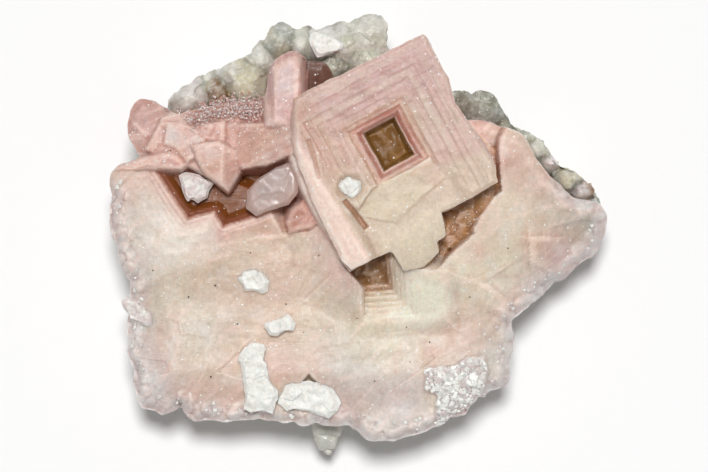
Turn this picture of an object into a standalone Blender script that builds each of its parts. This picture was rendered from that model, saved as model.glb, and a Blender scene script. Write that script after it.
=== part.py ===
"""Pink hopper halite on a grey granular salt matrix, with loose white salt chips on it.

Lengths are in millimetres and angles in degrees, turned into metres and radians where the meshes
are made. The origin is at the middle of the flat underside, with +Z up and +X along the longest side.
A block's place is the centre of its top face, and the block hangs down from there.
"""

import math
import random

import bmesh
import bpy
from mathutils import Matrix, Vector

MM = 0.001

# Driving dimensions of the specimen.
MATRIX_TOP = 9.0  # height of the slab that the pink crystals grew on
FOOT = MATRIX_TOP - 2.0  # height that the pink salt is drawn down to before its underside is cut flat
GAP = 0.35  # clearance between one piece and the next

# The largest crystal is a hopper cube, tilted a little, with its square pit facing up.
MAIN_TURN = 28.5
MAIN_TOP = 44.0
MAIN_AT = (7.3, 19.8, MAIN_TOP)
MAIN_SIZE = (36.0, 36.5, 30.0)
MAIN_LEAN = 3.0
MAIN_TOWARDS = 40.0

# The second hopper lies to its left, lower and longer, and its pit has a notched edge.
LEFT_TURN = 17.0
LEFT_TOP = 34.0
LEFT_AT = (-32.8, 5.2, LEFT_TOP)

# The third is small and sunk into the lower mass, close to the foot of the largest one.
SMALL_TURN = 4.0
SMALL_TOP = 30.5
SMALL_AT = (5.9, -11.5, SMALL_TOP)

# Each terrace of a pit: centre and half widths in the crystal's own X and Y, and depth below its face.
MAIN_PIT = (
    ((0.6, 0.6), (13.6, 13.4), 0.7),
    ((0.0, 0.2), (10.3, 10.1), 2.0),
    ((-0.3, 0.2), (7.9, 8.0), 3.8),
    ((-0.4, 0.3), (6.0, 6.4), 6.2),
    ((-0.4, 0.3), (3.7, 4.8), 19.0),
)
LEFT_PIT = (
    ((4.2, 4.7), (12.8, 11.0), 1.3),
    ((3.7, 7.3), (11.0, 7.3), 4.2),
    ((7.6, 4.5), (6.4, 9.0), 6.4),
    ((4.9, 5.9), (7.6, 5.4), 17.0),
)
SMALL_PIT = (
    ((0.0, 0.0), (6.6, 6.2), 1.2),
    ((-0.6, 0.6), (5.1, 4.8), 3.0),
    ((-1.1, 1.1), (3.6, 3.3), 5.2),
    ((-1.5, 1.5), (2.2, 2.0), 11.0),
)
# Narrow grooves along the left wall of the largest crystal: centre, size and turn in its own X and Y.
MAIN_GROOVES = (((-13.7, -8.1, -1.6), (2.2, 11.4, 3.2), -17.5), ((-16.1, 6.2, -0.8), (1.5, 9.0, 1.6), -15.0))

# Masses of worn pink salt: name, height of the top, share of the outline left at the crown, outline.
PINK_MASSES = (
    ("core", 20.0, 0.94, (
        (-46.0, 12.0), (-38.0, 21.0), (-20.0, 27.0), (12.0, 33.0), (26.0, 22.0), (33.0, 8.0),
        (34.0, -14.0), (29.0, -30.0), (2.0, -38.0), (-40.0, -35.0), (-46.0, -14.0))),
    ("left_hopper", LEFT_TOP, 0.88, (
        (-56.0, 14.0), (-57.2, 5.0), (-55.0, -4.0), (-50.5, -11.5), (-36.0, -11.5), (-14.0, -4.0),
        (-13.0, 12.0), (-19.0, 23.0), (-38.0, 18.5))),
    ("lower_left_mass", 29.0, 0.72, (
        (-50.8, -12.0), (-51.8, -22.5), (-50.0, -32.0), (-46.5, -38.0), (-40.8, -38.4), (-23.5, -39.5),
        (-19.0, -30.0), (-18.5, -10.0), (-30.0, -4.0), (-42.0, -4.0))),
    ("lower_middle_mass", 30.5, 0.74, (
        (-30.5, -6.0), (-13.0, -1.0), (-1.0, -5.0), (9.0, -15.0), (13.0, -26.0), (10.5, -39.0),
        (-4.0, -41.0), (-23.0, -40.5), (-28.0, -24.0))),
    ("lower_right_mass", 27.5, 0.7, (
        (2.0, -16.0), (18.5, -14.0), (32.0, -16.0), (34.5, -24.5), (33.5, -31.0), (27.0, -36.0),
        (17.0, -42.5), (5.0, -43.5), (-3.0, -38.0), (-2.0, -22.0))),
    ("east_mass", 30.0, 0.78, (
        (-1.5, -4.0), (15.0, -6.0), (25.5, -10.0), (35.0, -18.0), (31.0, -24.0), (16.5, -25.5),
        (2.0, -22.0), (-2.5, -13.0))),
    ("right_lobe", 34.0, 0.76, (
        (32.6, 8.5), (39.0, 6.8), (39.3, -6.0), (44.0, -8.4), (41.5, -14.0), (35.0, -19.0),
        (23.5, -19.5), (15.0, -10.2), (16.0, -6.3))),
    ("right_crest", 35.5, 0.7, (
        (33.3, 20.4), (35.8, 22.7), (39.2, 21.0), (43.2, 15.5), (46.0, 6.0), (40.0, -2.0),
        (32.4, 8.0))),
    ("right_tip", 29.0, 0.72, (
        (39.0, 17.0), (43.3, 15.5), (49.4, 9.0), (55.0, 6.5), (57.4, 2.8), (55.0, -2.0),
        (48.0, -3.5), (38.5, -1.0))),
    ("right_ledge", 22.0, 0.8, (
        (39.0, 1.0), (55.2, -1.0), (54.2, -4.4), (48.0, -8.4), (44.2, -10.6), (38.0, -10.0))),
    ("upper_left_bed", 25.0, 0.8, (
        (-47.0, 17.0), (-42.0, 25.5), (-33.0, 28.5), (-20.0, 30.5), (-17.5, 20.0), (-38.0, 17.0))),
)

# Pink crystals with flat faces: name, top centre, size, turn, lean and the compass direction it leans to.
PINK_BLOCKS = (
    ("main_hopper", MAIN_AT, MAIN_SIZE, MAIN_TURN, MAIN_LEAN, MAIN_TOWARDS),
    ("pillar_block", (11.3, -1.4, 37.0), (12.6, 12.0, 22.0), 41.0, 4.0, -60.0),
    ("pit_slab", (6.3, 8.7, 44.2), (20.5, 9.0, 12.0), 31.0, 5.0, -60.0),
    ("small_wall", (-0.2, -8.5, 32.6), (2.6, 9.0, 12.0), 38.0, 4.0, 200.0),
    ("upper_rim", (-46.8, 16.6, 35.0), (19.0, 3.4, 16.0), 12.0, 5.0, 110.0),
    ("finger", (-16.2, 33.6, 38.0), (7.0, 16.0, 25.0), 4.0, 7.0, 95.0),
    ("upper_left_lump", (-46.2, 25.0, 29.0), (9.6, 11.0, 18.0), 28.0, 8.0, 150.0),
    ("upper_ledge_crystal", (-25.5, 21.6, 36.5), (23.0, 8.6, 18.0), 10.0, 6.0, -100.0),
    ("cube_corner", (-29.6, 16.6, 37.5), (9.6, 9.6, 13.0), 40.0, 8.0, -95.0),
    ("wedge_between", (-12.2, 4.6, 34.0), (6.6, 6.6, 16.0), 48.0, 12.0, 230.0),
    ("spur", (-5.0, 6.0, 33.5), (9.0, 9.0, 12.0), 25.0, 5.0, 230.0),
    ("upper_bank", (-13.0, -14.6, 31.6), (25.0, 7.6, 8.0), 5.0, 5.0, -95.0),
    ("lower_bank", (-17.0, -26.6, 31.2), (20.0, 8.6, 8.0), -4.0, 6.0, -85.0),
    ("left_bank", (-39.6, -20.0, 30.2), (13.0, 22.0, 10.0), 10.0, 4.0, 200.0),
    ("front_bank", (5.0, -31.0, 30.6), (13.0, 17.0, 10.0), -12.0, 6.0, -70.0),
    ("east_bank", (21.0, -16.8, 31.6), (17.0, 9.0, 10.0), -28.0, 5.0, -60.0),
    ("corner_bank", (-44.6, -33.6, 26.4), (8.6, 9.6, 12.0), 22.0, 8.0, 220.0),
    ("foot", (7.4, -43.6, 15.0), (15.6, 6.0, 11.0), 6.0, 6.0, -90.0),
)

# Deep open gaps in the masses: name, outline and the height of its bottom.
HOLLOWS = (
    ("crevice", ((31.9, 11.6), (32.3, 9.4), (27.3, 5.2), (26.6, 0.6), (18.8, -6.1), (15.0, -7.2),
                 (13.0, 4.0), (20.0, 12.0)), 13.0),
    ("dark_corner", ((-18.0, 4.6), (-13.8, 6.6), (-13.6, 3.0), (-16.6, 0.6)), 24.0),
    ("notch_lower_left", ((-40.6, -37.0), (-39.4, -37.0), (-39.2, -44.0), (-41.2, -44.0)), 0.0),
    ("under_chip", ((-14.0, -31.8), (-9.4, -31.8), (-9.4, -36.0), (-14.0, -36.0)), 22.0),
)

# The outline of the pink salt from its upper left corner, down, along the bottom and up to the right tip.
PINK_EDGE = (
    (-56.0, 12.5), (-57.0, 4.5), (-54.8, -3.5), (-51.5, -10.5), (-52.5, -15.0), (-52.3, -27.0),
    (-49.8, -35.0), (-46.0, -40.0), (-41.5, -39.5), (-35.5, -41.5), (-26.0, -42.5), (-13.0, -42.8),
    (-1.0, -43.2), (4.0, -46.0), (14.0, -45.6), (20.0, -42.5), (25.0, -40.5), (27.5, -36.5),
    (33.5, -34.5), (35.0, -25.5), (34.5, -19.8), (41.5, -13.0), (47.0, -9.5), (54.0, -4.5), (57.0, 2.5),
)
EDGE_STEP = 4.4  # spacing of the knobs along the outline
EDGE_KNOB = (5.6, 8.8)  # smallest and largest knob
EDGE_MIDDLE = (11.5, 22.0)  # lowest and highest middle of a knob

# White sugary salt at the lower right corner: centre and size of each lump.
WHITE_DRUSE = (
    ((18.5, -32.0, 25.4), (7.0, 6.4, 8.0)), ((23.4, -30.0, 26.4), (7.6, 6.6, 8.0)),
    ((28.5, -28.6, 25.0), (7.0, 6.8, 9.0)), ((31.0, -31.6, 20.6), (6.0, 5.0, 10.0)),
    ((21.6, -36.2, 23.4), (7.6, 6.6, 9.0)), ((26.2, -34.6, 22.6), (6.4, 5.6, 9.0)),
)

# Grey salt matrix: outline of the slab, then the banks that rise past the pink crystals, and the lumps
# on them as centre, height of the top and widths.
MATRIX_OUTLINE = (
    (-44.0, 26.0), (-32.0, 35.0), (-22.0, 43.0), (-16.0, 46.5), (-4.0, 47.0), (2.0, 48.0),
    (6.0, 44.0), (22.0, 31.0), (30.0, 29.5), (41.0, 19.5), (50.0, 9.0), (49.0, 2.0),
    (43.0, -8.0), (28.0, -31.0), (19.0, -40.0), (4.0, -42.5), (-20.0, -40.5),
    (-40.0, -37.0), (-48.5, -30.0), (-49.5, -12.0), (-54.5, 2.0), (-53.0, 12.0),
)
MATRIX_BANKS = (
    ("back_bank", 22.5, 0.8, (
        (-41.0, 28.0), (-32.0, 34.6), (-23.0, 41.0), (-14.0, 45.5), (2.0, 46.5), (6.6, 41.0),
        (-2.0, 34.0), (-20.0, 31.0), (-36.0, 25.0))),
    ("right_bank", 19.5, 0.8, (
        (22.0, 32.0), (30.0, 30.5), (41.5, 20.5), (50.0, 12.0), (53.0, 5.5), (44.0, 10.0),
        (34.0, 18.0), (24.0, 24.0))),
)
MATRIX_LUMPS = (
    ((2.2, 44.0), 29.0, (9.8, 12.6)), ((-3.4, 39.4), 31.0, (12.0, 12.0)), ((-8.4, 43.4), 28.6, (10.0, 9.0)),
    ((-17.6, 43.4), 28.0, (9.0, 10.0)), ((-20.5, 37.5), 27.5, (9.5, 9.0)), ((-26.0, 34.6), 31.0, (9.6, 9.0)),
    ((-32.4, 32.8), 26.6, (7.6, 9.0)), ((-38.0, 30.0), 25.6, (9.6, 8.4)), ((-30.2, 38.2), 19.0, (6.0, 5.6)),
    ((-10.6, 47.0), 20.0, (5.4, 5.0)), ((-4.4, 48.0), 20.5, (6.0, 4.8)), ((2.8, 49.0), 19.5, (6.5, 4.0)),
    ((-24.0, 41.5), 19.0, (6.8, 6.8)), ((27.8, 28.6), 30.0, (9.6, 9.4)), ((22.4, 31.4), 23.0, (5.8, 6.0)),
    ((29.4, 23.4), 30.5, (11.0, 7.0)), ((33.6, 25.0), 22.0, (5.6, 5.6)), ((39.6, 20.4), 23.0, (8.4, 7.4)),
    ((44.8, 15.0), 23.5, (7.0, 7.5)), ((49.6, 11.6), 24.5, (8.0, 6.8)), ((53.4, 6.4), 20.5, (6.0, 6.0)),
    ((-49.6, 18.8), 18.5, (6.0, 5.4)), ((-44.6, 27.4), 14.0, (7.0, 6.4)), ((14.0, 38.4), 13.0, (9.0, 8.0)),
)
SPIKE_PARTS = (
    ((-6.6, -42.6, 8.4), (8.0, 6.0, 6.0)), ((-7.2, -46.4, 7.8), (5.0, 6.2, 5.2)),
    ((-7.0, -48.8, 6.8), (3.4, 4.2, 3.6)),
)
KNOB_STEP = 7.4  # spacing of the knobs round the edge of the slab

# Loose pieces: name, centre, size, turn, lean and the direction it leans towards.
CHIPS = (
    ("chip_in_left_pit", (-36.4, 10.6, 31.2), (7.4, 7.2, 3.6), 20.0, 10.0, -60.0),
    ("chip_on_main_hopper", (-1.6, 10.9, 43.2), (5.6, 5.4, 3.4), 10.0, 12.0, 210.0),
    ("chip_upper_middle", (-23.6, -9.8, 31.2), (6.6, 6.2, 3.4), 35.0, 4.0, -90.0),
    ("chip_middle", (-17.0, -20.4, 31.2), (7.4, 4.6, 3.2), 22.0, 5.0, -90.0),
    ("chip_long", (-21.4, -32.6, 30.2), (7.6, 15.6, 4.4), 10.0, 7.0, -90.0),
    ("chip_lower", (-10.4, -37.6, 28.2), (13.2, 7.6, 5.4), -6.0, 12.0, -90.0),
    ("chip_left_edge", (-50.0, -16.6, 27.6), (6.6, 6.0, 4.2), 0.0, 14.0, 190.0),
    ("chip_on_matrix", (-7.0, 43.0, 29.4), (8.2, 4.8, 3.4), -14.0, 8.0, 60.0),
)
BLADE = ("clear_blade", (-19.4, 10.6, 34.9), (11.6, 10.2, 4.2), 34.0, 9.0, 250.0)

ROUGH = {"pink_salt": 0.45, "grey_salt": 0.6, "white_salt": 0.5, "clear_salt": 0.2}
COLOURS = {
    "pink_salt": (0.86, 0.68, 0.62),
    "grey_salt": (0.56, 0.57, 0.50),
    "white_salt": (0.92, 0.90, 0.88),
    "clear_salt": (0.84, 0.78, 0.80),
}


def clear_scene():
    for obj in list(bpy.data.objects):
        bpy.data.objects.remove(obj, do_unlink=True)


def collection(name):
    made = bpy.data.collections.new(name)
    bpy.context.scene.collection.children.link(made)
    return made


def material(name):
    made = bpy.data.materials.new(name)
    made.use_nodes = True
    shader = made.node_tree.nodes["Principled BSDF"]
    shader.inputs["Base Color"].default_value = (*COLOURS[name], 1.0)
    shader.inputs["Roughness"].default_value = ROUGH[name]
    shader.inputs["Metallic"].default_value = 0.0
    return made


def placing(at, turn, lean=0.0, towards=0.0):
    """Turned about Z, then leaned so that its top tips towards a compass direction counted from +X."""
    way = math.radians(towards)
    axis = Vector((-math.sin(way), math.cos(way), 0.0))
    tipped = Matrix.Rotation(math.radians(lean), 4, axis) @ Matrix.Rotation(math.radians(turn), 4, "Z")
    return Matrix.Translation(Vector(at) * MM) @ tipped


def keep(bm, name, where, home):
    """A bmesh as an object in a collection. What isn't part of the specimen itself is hidden."""
    bmesh.ops.recalc_face_normals(bm, faces=bm.faces)
    mesh = bpy.data.meshes.new(name)
    bm.to_mesh(mesh)
    bm.free()
    obj = bpy.data.objects.new(name, mesh)
    obj.matrix_world = where
    home.objects.link(obj)
    obj.hide_render = True
    obj.display_type = "WIRE"
    return obj


def wrap(bm):
    """Turns a cloud of points or a dented shape into the convex solid round it."""
    points = {tuple(round(c, 7) for c in v.co) for v in bm.verts}
    bm.clear()
    for point in sorted(points):
        bm.verts.new(point)
    hull = bmesh.ops.convex_hull(bm, input=bm.verts)
    spare = {v for v in hull["geom_interior"] + hull["geom_unused"] if isinstance(v, bmesh.types.BMVert)}
    bmesh.ops.delete(bm, geom=list(spare), context="VERTS")


def block(name, at, size, turn, lean, towards, home, seed, grow=0.0, wear=0.5, chamfer=0.8):
    """A worn salt cube: its corners are moved a little at random and its edges cut off."""
    pick = random.Random(seed)
    bm = bmesh.new()
    bmesh.ops.create_cube(bm, size=1.0)
    for corner in bm.verts:
        shift = Vector((pick.uniform(-wear, wear) for _ in range(3)))
        reach = Vector(size) + Vector((2.0 * grow,) * 3)
        centred = Vector((a * b for a, b in zip(corner.co, reach)))
        corner.co = (centred + shift - Vector((0.0, 0.0, size[2] / 2.0))) * MM
    bmesh.ops.bevel(bm, geom=list(bm.edges), offset=chamfer * MM, segments=1, affect="EDGES")
    wrap(bm)
    return keep(bm, name, placing(at, turn, lean, towards), home)


def mass(name, outline, top, crown, home, seed, grow=0.0, wear=0.6):
    """A body of worn salt: its outline carried up in rings, widest halfway and drawn in to the crown."""
    pick = random.Random(seed)
    middle = sum((Vector(point) for point in outline), Vector((0.0, 0.0))) / len(outline)
    rise = top - FOOT
    bm = bmesh.new()
    for share, height in ((0.95, FOOT), (1.0, FOOT + 0.5 * rise), (0.96, top - 3.0), (crown, top)):
        for point in outline:
            spread = Vector(point) - middle
            shift = Vector((pick.uniform(-wear, wear), pick.uniform(-wear, wear)))
            flat = middle + spread * share + shift * 0.7 + spread.normalized() * grow
            tall = height + (grow + pick.uniform(-wear, 0.0) if height == top else 0.0)
            bm.verts.new(Vector((*flat, tall)) * MM)
    wrap(bm)
    return keep(bm, name, Matrix.Identity(4), home)


def prism(name, outline, bottom, top, home):
    """An upright cutter with a drawn outline."""
    bm = bmesh.new()
    for height in (bottom, top):
        for point in outline:
            bm.verts.new(Vector((*point, height)) * MM)
    wrap(bm)
    return keep(bm, name, Matrix.Identity(4), home)


def lump(name, at, size, turn, home, seed, grow=0.0, lean=0.0, towards=0.0, rough=0.16, flat=False):
    """A grain of salt: a ball pushed out towards a cube, with uneven facets. It is placed by its centre."""
    pick = random.Random(seed)
    bm = bmesh.new()
    bmesh.ops.create_icosphere(bm, subdivisions=1 if min(size) < 9.0 else 2, radius=1.0)
    for point in bm.verts:
        longest = max(abs(c) for c in point.co)
        boxed = point.co * (1.0 + 0.45 * (1.0 / longest - 1.0))
        boxed *= 1.0 + pick.uniform(-rough, rough)
        if flat:
            boxed.z = max(-0.55, min(0.62, boxed.z)) + pick.uniform(-0.04, 0.04)
        reach = [s / 2.0 + grow for s in size]
        point.co = Vector((c * r for c, r in zip(boxed, reach))) * MM
    wrap(bm)
    return keep(bm, name, placing(at, turn, lean, towards), home)


def box_cutter(name, middle, size, where, home, turn=0.0):
    """A box in a crystal's own X, Y and Z, counted from the centre of its face."""
    bm = bmesh.new()
    bmesh.ops.create_cube(bm, size=1.0)
    for corner in bm.verts:
        corner.co = Vector((a * b for a, b in zip(corner.co, size))) * MM
    inside = Matrix.Translation(Vector(middle) * MM) @ Matrix.Rotation(math.radians(turn), 4, "Z")
    return keep(bm, name, where @ inside, home)


def terraces(name, steps, where, home):
    """Cutters for the square steps of a hopper."""
    above = 8.0
    for number, ((x, y), (half_x, half_y), depth) in enumerate(steps):
        middle = (x, y, (above - depth) / 2.0)
        box_cutter(f"{name}_{number}", middle, (2.0 * half_x, 2.0 * half_y, depth + above), where, home)


def boolean(obj, operation, other):
    """Adds a Boolean with one object, or with every object of a collection."""
    made = obj.modifiers.new(f"{operation.lower()}_{len(obj.modifiers)}", "BOOLEAN")
    made.operation = operation
    made.solver = "EXACT"
    if isinstance(other, bpy.types.Collection):
        made.operand_type = "COLLECTION"
        made.collection = other
    else:
        made.object = other


def along(path, step):
    """Points at equal steps along a line of points, each with the direction to the left of travel."""
    points = [Vector(p) for p in path]
    lengths = [(b - a).length for a, b in zip(points, points[1:])]
    total, found = sum(lengths), []
    for number in range(int(total / step) + 1):
        left = number * step
        for start, end, length in zip(points, points[1:], lengths):
            if left <= length:
                way = (end - start) / length
                found.append((start + way * left, Vector((-way.y, way.x))))
                break
            left -= length
    return found


def edge_knobs(home, grow=0.0):
    """Knobs of pink salt along the outline, set inwards by half their size."""
    pick = random.Random(11)
    for number, (point, inward) in enumerate(along(PINK_EDGE, EDGE_STEP)):
        wide = pick.uniform(*EDGE_KNOB)
        tall = wide * pick.uniform(0.9, 1.7)
        centre = (*(point + inward * wide * 0.5), pick.uniform(*EDGE_MIDDLE))
        lump(f"edge_{number}", centre, (wide, wide, tall), pick.uniform(0, 90), home, pick.random(), grow)


def pink_masses(home, grow=0.0):
    """The worn masses. With grow, they are the room that the matrix leaves for them."""
    for number, (name, top, crown, outline) in enumerate(PINK_MASSES):
        mass(f"{home.name}_{name}", outline, top, crown, home, 20 + number, grow)


def pink_crystals(home, grow=0.0):
    """The flat-faced crystals, the knobs of the edge and the white sugary lumps."""
    for number, (name, *shape) in enumerate(PINK_BLOCKS):
        block(f"{home.name}_{name}", *shape, home, 40 + number, grow)
    for number, (centre, size) in enumerate(WHITE_DRUSE):
        lump(f"druse_{number}", centre, size, 25.0 * number, home, 300 + number, grow, rough=0.2)
    edge_knobs(home, grow)


def hollow_cutters(home):
    """The pits of the two lower hoppers and the gaps between the masses."""
    terraces("left_pit", LEFT_PIT, placing(LEFT_AT, LEFT_TURN), home)
    terraces("small_pit", SMALL_PIT, placing(SMALL_AT, SMALL_TURN), home)
    for name, outline, bottom in HOLLOWS:
        prism(name, outline, bottom, MAIN_TOP + 10.0, home)


def main_cutters(home):
    """The pit of the largest crystal and the grooves beside it."""
    where = placing(MAIN_AT, MAIN_TURN, MAIN_LEAN, MAIN_TOWARDS)
    terraces("main_pit", MAIN_PIT, where, home)
    for number, (middle, size, turn) in enumerate(MAIN_GROOVES):
        box_cutter(f"groove_{number}", middle, size, where, home, turn)


def matrix_pieces(home):
    """The banks of grey salt on the slab, their lumps, the spike at the front and knobs round the edge."""
    for number, (name, top, crown, outline) in enumerate(MATRIX_BANKS):
        mass(name, outline, top, crown, home, 480 + number)
    for number, (centre, top, wide) in enumerate(MATRIX_LUMPS):
        tall = 1.3 * max(wide)
        middle = (*centre, top - tall / 2.0)
        lump(f"grain_{number}", middle, (*wide, tall), 17.0 * number, home, 500 + number, rough=0.13)
    for number, (centre, size) in enumerate(SPIKE_PARTS):
        lump(f"spike_{number}", centre, size, 17.0 * number, home, 560 + number, rough=0.13)
    pick = random.Random(23)
    ring = MATRIX_OUTLINE + MATRIX_OUTLINE[:1]
    for number, (point, left) in enumerate(along(ring, KNOB_STEP)):
        wide = pick.uniform(5.0, 8.0)
        centre = (*(point - left * wide * 0.25), 4.0)
        size = (wide, wide, pick.uniform(6.5, 7.6))
        lump(f"rim_{number}", centre, size, pick.uniform(0, 90), home, pick.random())


def slab(name, home):
    """The block of matrix under the crystals: its outline at three heights, drawn in at foot and top."""
    bm = bmesh.new()
    for height, share in ((-2.0, 0.93), (4.0, 1.0), (MATRIX_TOP, 0.97)):
        for x, y in MATRIX_OUTLINE:
            bm.verts.new(Vector((x * share, y * share, height)) * MM)
    wrap(bm)
    return keep(bm, name, Matrix.Identity(4), home)


def show(obj, name, home, surface):
    """Makes an object a piece of the specimen."""
    obj.name = name
    for old in list(obj.users_collection):
        old.objects.unlink(obj)
    home.objects.link(obj)
    obj.data.materials.append(surface)
    obj.hide_render = False
    obj.display_type = "TEXTURED"
    return obj


def all_below(height, home):
    """A wide block under a height, which leaves a flat underside there."""
    wide, deep = 200.0, 30.0
    middle = (0.0, 0.0, height - deep / 2.0)
    return box_cutter(f"below_{height:g}", middle, (wide, wide, deep), Matrix.Identity(4), home)


def solidify_result(obj):
    """Applies the Booleans and drops the crumbs that a cut leaves beside the main body."""
    bpy.context.view_layer.update()
    graph = bpy.context.evaluated_depsgraph_get()
    mesh = bpy.data.meshes.new_from_object(obj.evaluated_get(graph), depsgraph=graph)
    bm = bmesh.new()
    bm.from_mesh(mesh)
    bodies, unseen = [], set(bm.verts)
    while unseen:
        body, front = set(), [unseen.pop()]
        while front:
            vert = front.pop()
            body.add(vert)
            near = {e.other_vert(vert) for e in vert.link_edges} & unseen
            unseen -= near
            front.extend(near)
        bodies.append(body)
    bodies.sort(key=len)
    crumbs = [v for body in bodies[:-1] for v in body]
    bmesh.ops.delete(bm, geom=crumbs, context="VERTS")
    bm.to_mesh(mesh)
    bm.free()
    obj.modifiers.clear()
    obj.data = mesh


def main():
    clear_scene()
    specimen = collection("halite_specimen")
    cutters = collection("cutters")
    masses = collection("masses")
    crystals = collection("crystals")
    hollows = collection("hollows")
    main_pit = collection("main_pit")
    grains = collection("grains")
    room = collection("room_for_pink")
    chip_room = collection("room_for_chips")
    surfaces = {name: material(name) for name in COLOURS}

    pink_masses(masses)
    pink_crystals(crystals)
    hollow_cutters(hollows)
    main_cutters(main_pit)
    boolean(crystals.objects["crystals_main_hopper"], "DIFFERENCE", main_pit)
    cluster = show(masses.objects["masses_core"], "pink_hopper_cluster", specimen, surfaces["pink_salt"])
    boolean(cluster, "UNION", masses)
    boolean(cluster, "DIFFERENCE", hollows)
    boolean(cluster, "UNION", crystals)
    boolean(cluster, "DIFFERENCE", all_below(MATRIX_TOP + GAP, cutters))

    pink_masses(room, GAP)
    pink_crystals(room, GAP)
    pink_room = room.objects["room_for_pink_core"]
    room.objects.unlink(pink_room)
    cutters.objects.link(pink_room)
    boolean(pink_room, "UNION", room)
    boolean(pink_room, "DIFFERENCE", all_below(MATRIX_TOP, cutters))

    matrix = show(slab("slab", grains), "grey_salt_matrix", specimen, surfaces["grey_salt"])
    matrix_pieces(grains)
    boolean(matrix, "UNION", grains)
    boolean(matrix, "DIFFERENCE", all_below(0.0, cutters))
    boolean(matrix, "DIFFERENCE", pink_room)

    for number, (name, at, size, turn, lean, towards) in enumerate(CHIPS + (BLADE,)):
        surface = surfaces["clear_salt" if name == BLADE[0] else "white_salt"]
        options = {"lean": lean, "towards": towards, "flat": True}
        chip = lump(name, at, size, turn, cutters, 700 + number, **options)
        show(chip, name, specimen, surface)
        lump(f"room_{name}", at, size, turn, chip_room, 700 + number, grow=GAP, **options)
    for body in (cluster, matrix):
        boolean(body, "DIFFERENCE", chip_room)
        solidify_result(body)


main()
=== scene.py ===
import bpy
import numpy as np
from math import cos, radians, sin
from mathutils import Matrix, Vector


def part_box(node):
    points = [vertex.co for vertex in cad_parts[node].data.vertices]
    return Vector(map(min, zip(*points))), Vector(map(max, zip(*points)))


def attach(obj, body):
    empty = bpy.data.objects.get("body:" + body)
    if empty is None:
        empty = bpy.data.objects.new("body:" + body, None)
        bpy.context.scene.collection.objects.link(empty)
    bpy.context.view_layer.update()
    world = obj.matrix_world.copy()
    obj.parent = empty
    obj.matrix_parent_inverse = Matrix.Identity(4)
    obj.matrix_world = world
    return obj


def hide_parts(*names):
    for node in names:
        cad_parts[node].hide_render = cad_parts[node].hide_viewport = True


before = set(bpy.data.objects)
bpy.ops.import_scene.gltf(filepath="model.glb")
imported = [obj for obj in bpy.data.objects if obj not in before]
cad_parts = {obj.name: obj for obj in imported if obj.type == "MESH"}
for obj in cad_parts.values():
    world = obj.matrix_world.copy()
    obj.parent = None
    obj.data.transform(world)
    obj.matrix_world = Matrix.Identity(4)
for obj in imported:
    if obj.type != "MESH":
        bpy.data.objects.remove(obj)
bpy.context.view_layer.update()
mm = 0.001
print("frame loaded:", len(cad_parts), "solids")

# Salt colours as a screen shows them.
palette = {
    "cream": (0.885, 0.835, 0.75),
    "ivory": (0.97, 0.95, 0.86),
    "butter": (0.90, 0.87, 0.76),
    "blush": (0.90, 0.79, 0.73),
    "pink": (0.86, 0.71, 0.66),
    "dusk": (0.78, 0.64, 0.61),
    "rose": (0.81, 0.59, 0.52),
    "coral": (0.76, 0.46, 0.38),
    "plum": (0.58, 0.40, 0.38),
    "apricot": (0.82, 0.66, 0.53),
    "amber": (0.62, 0.42, 0.24),
    "umber": (0.55, 0.31, 0.08),
    "rust": (0.58, 0.34, 0.22),
    "soot": (0.14, 0.11, 0.09),
    "tan": (0.70, 0.535, 0.34),
    "wine": (0.43, 0.27, 0.19),
    "petal": (0.97, 0.87, 0.82),
    "olive": (0.53, 0.37, 0.15),
    "white": (0.93, 0.93, 0.91),
    "snow": (0.98, 0.98, 0.96),
    "lilac": (0.85, 0.80, 0.79),
    "mauve": (0.85, 0.73, 0.71),
    "mist": (0.85, 0.84, 0.80),
    "sage": (0.76, 0.76, 0.69),
    "slate": (0.67, 0.68, 0.64),
    "lime": (0.79, 0.76, 0.65),
    "shade": (0.56, 0.55, 0.48),
}


def linear(name):
    # (c + 0.055) / 1.055 to the power 2.4
    return ((np.array(palette[name]) + 0.055) / 1.055) ** 2.4


def latticeValue(cell, seed):
    # a repeatable number from 0 to 1 for each whole-number cell
    ix, iy, iz = (cell[..., k] for k in range(3))
    mixed = ix * 73856093 ^ iy * 19349663 ^ iz * 83492791 ^ (seed * 40503 + 977)
    mixed = (mixed ^ (mixed >> 13)) * 1274126177
    return ((mixed ^ (mixed >> 16)) & 0xFFFFFF) / 0xFFFFFF


def softNoise(points, size, seed=0, octaves=3):
    # lattice values blended by 3t^2 - 2t^3 on each axis, summed over octaves of half the size and
    # weight; -1 to 1
    total, weight, reach = 0.0, 1.0, 0.0
    for octave in range(octaves):
        spread = points / size * 2.0**octave + 17.3 * octave
        cell = np.floor(spread).astype(np.int64)
        part = spread - cell
        part = part * part * (3.0 - 2.0 * part)
        value = 0.0
        for corner in range(8):
            offset = np.array([(corner >> k) & 1 for k in range(3)])
            share = np.prod(np.where(offset == 1, part, 1.0 - part), axis=-1)
            value += share * latticeValue(cell + offset, seed + octave)
        total += weight * (2.0 * value - 1.0)
        reach += weight
        weight *= 0.5
    return total / reach


def flatPoints(x, y):
    # the places as points at height 0
    return np.stack([x, y, np.zeros_like(x)], axis=-1)


def turned(x, y, degrees):
    # the coordinates along axes turned anticlockwise
    c, s = cos(radians(degrees)), sin(radians(degrees))
    return x * c + y * s, y * c - x * s


def ramp(value, low, high):
    # 3t^2 - 2t^3 from 0 at low to 1 at high
    t = np.clip((value - low) / (high - low), 0, 1)
    return t * t * (3.0 - 2.0 * t)


def mixed(first, second, share):
    # the first where the share is 0, the second where it is 1, and in between a sum of both
    return first * (1.0 - share) + second * share


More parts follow.
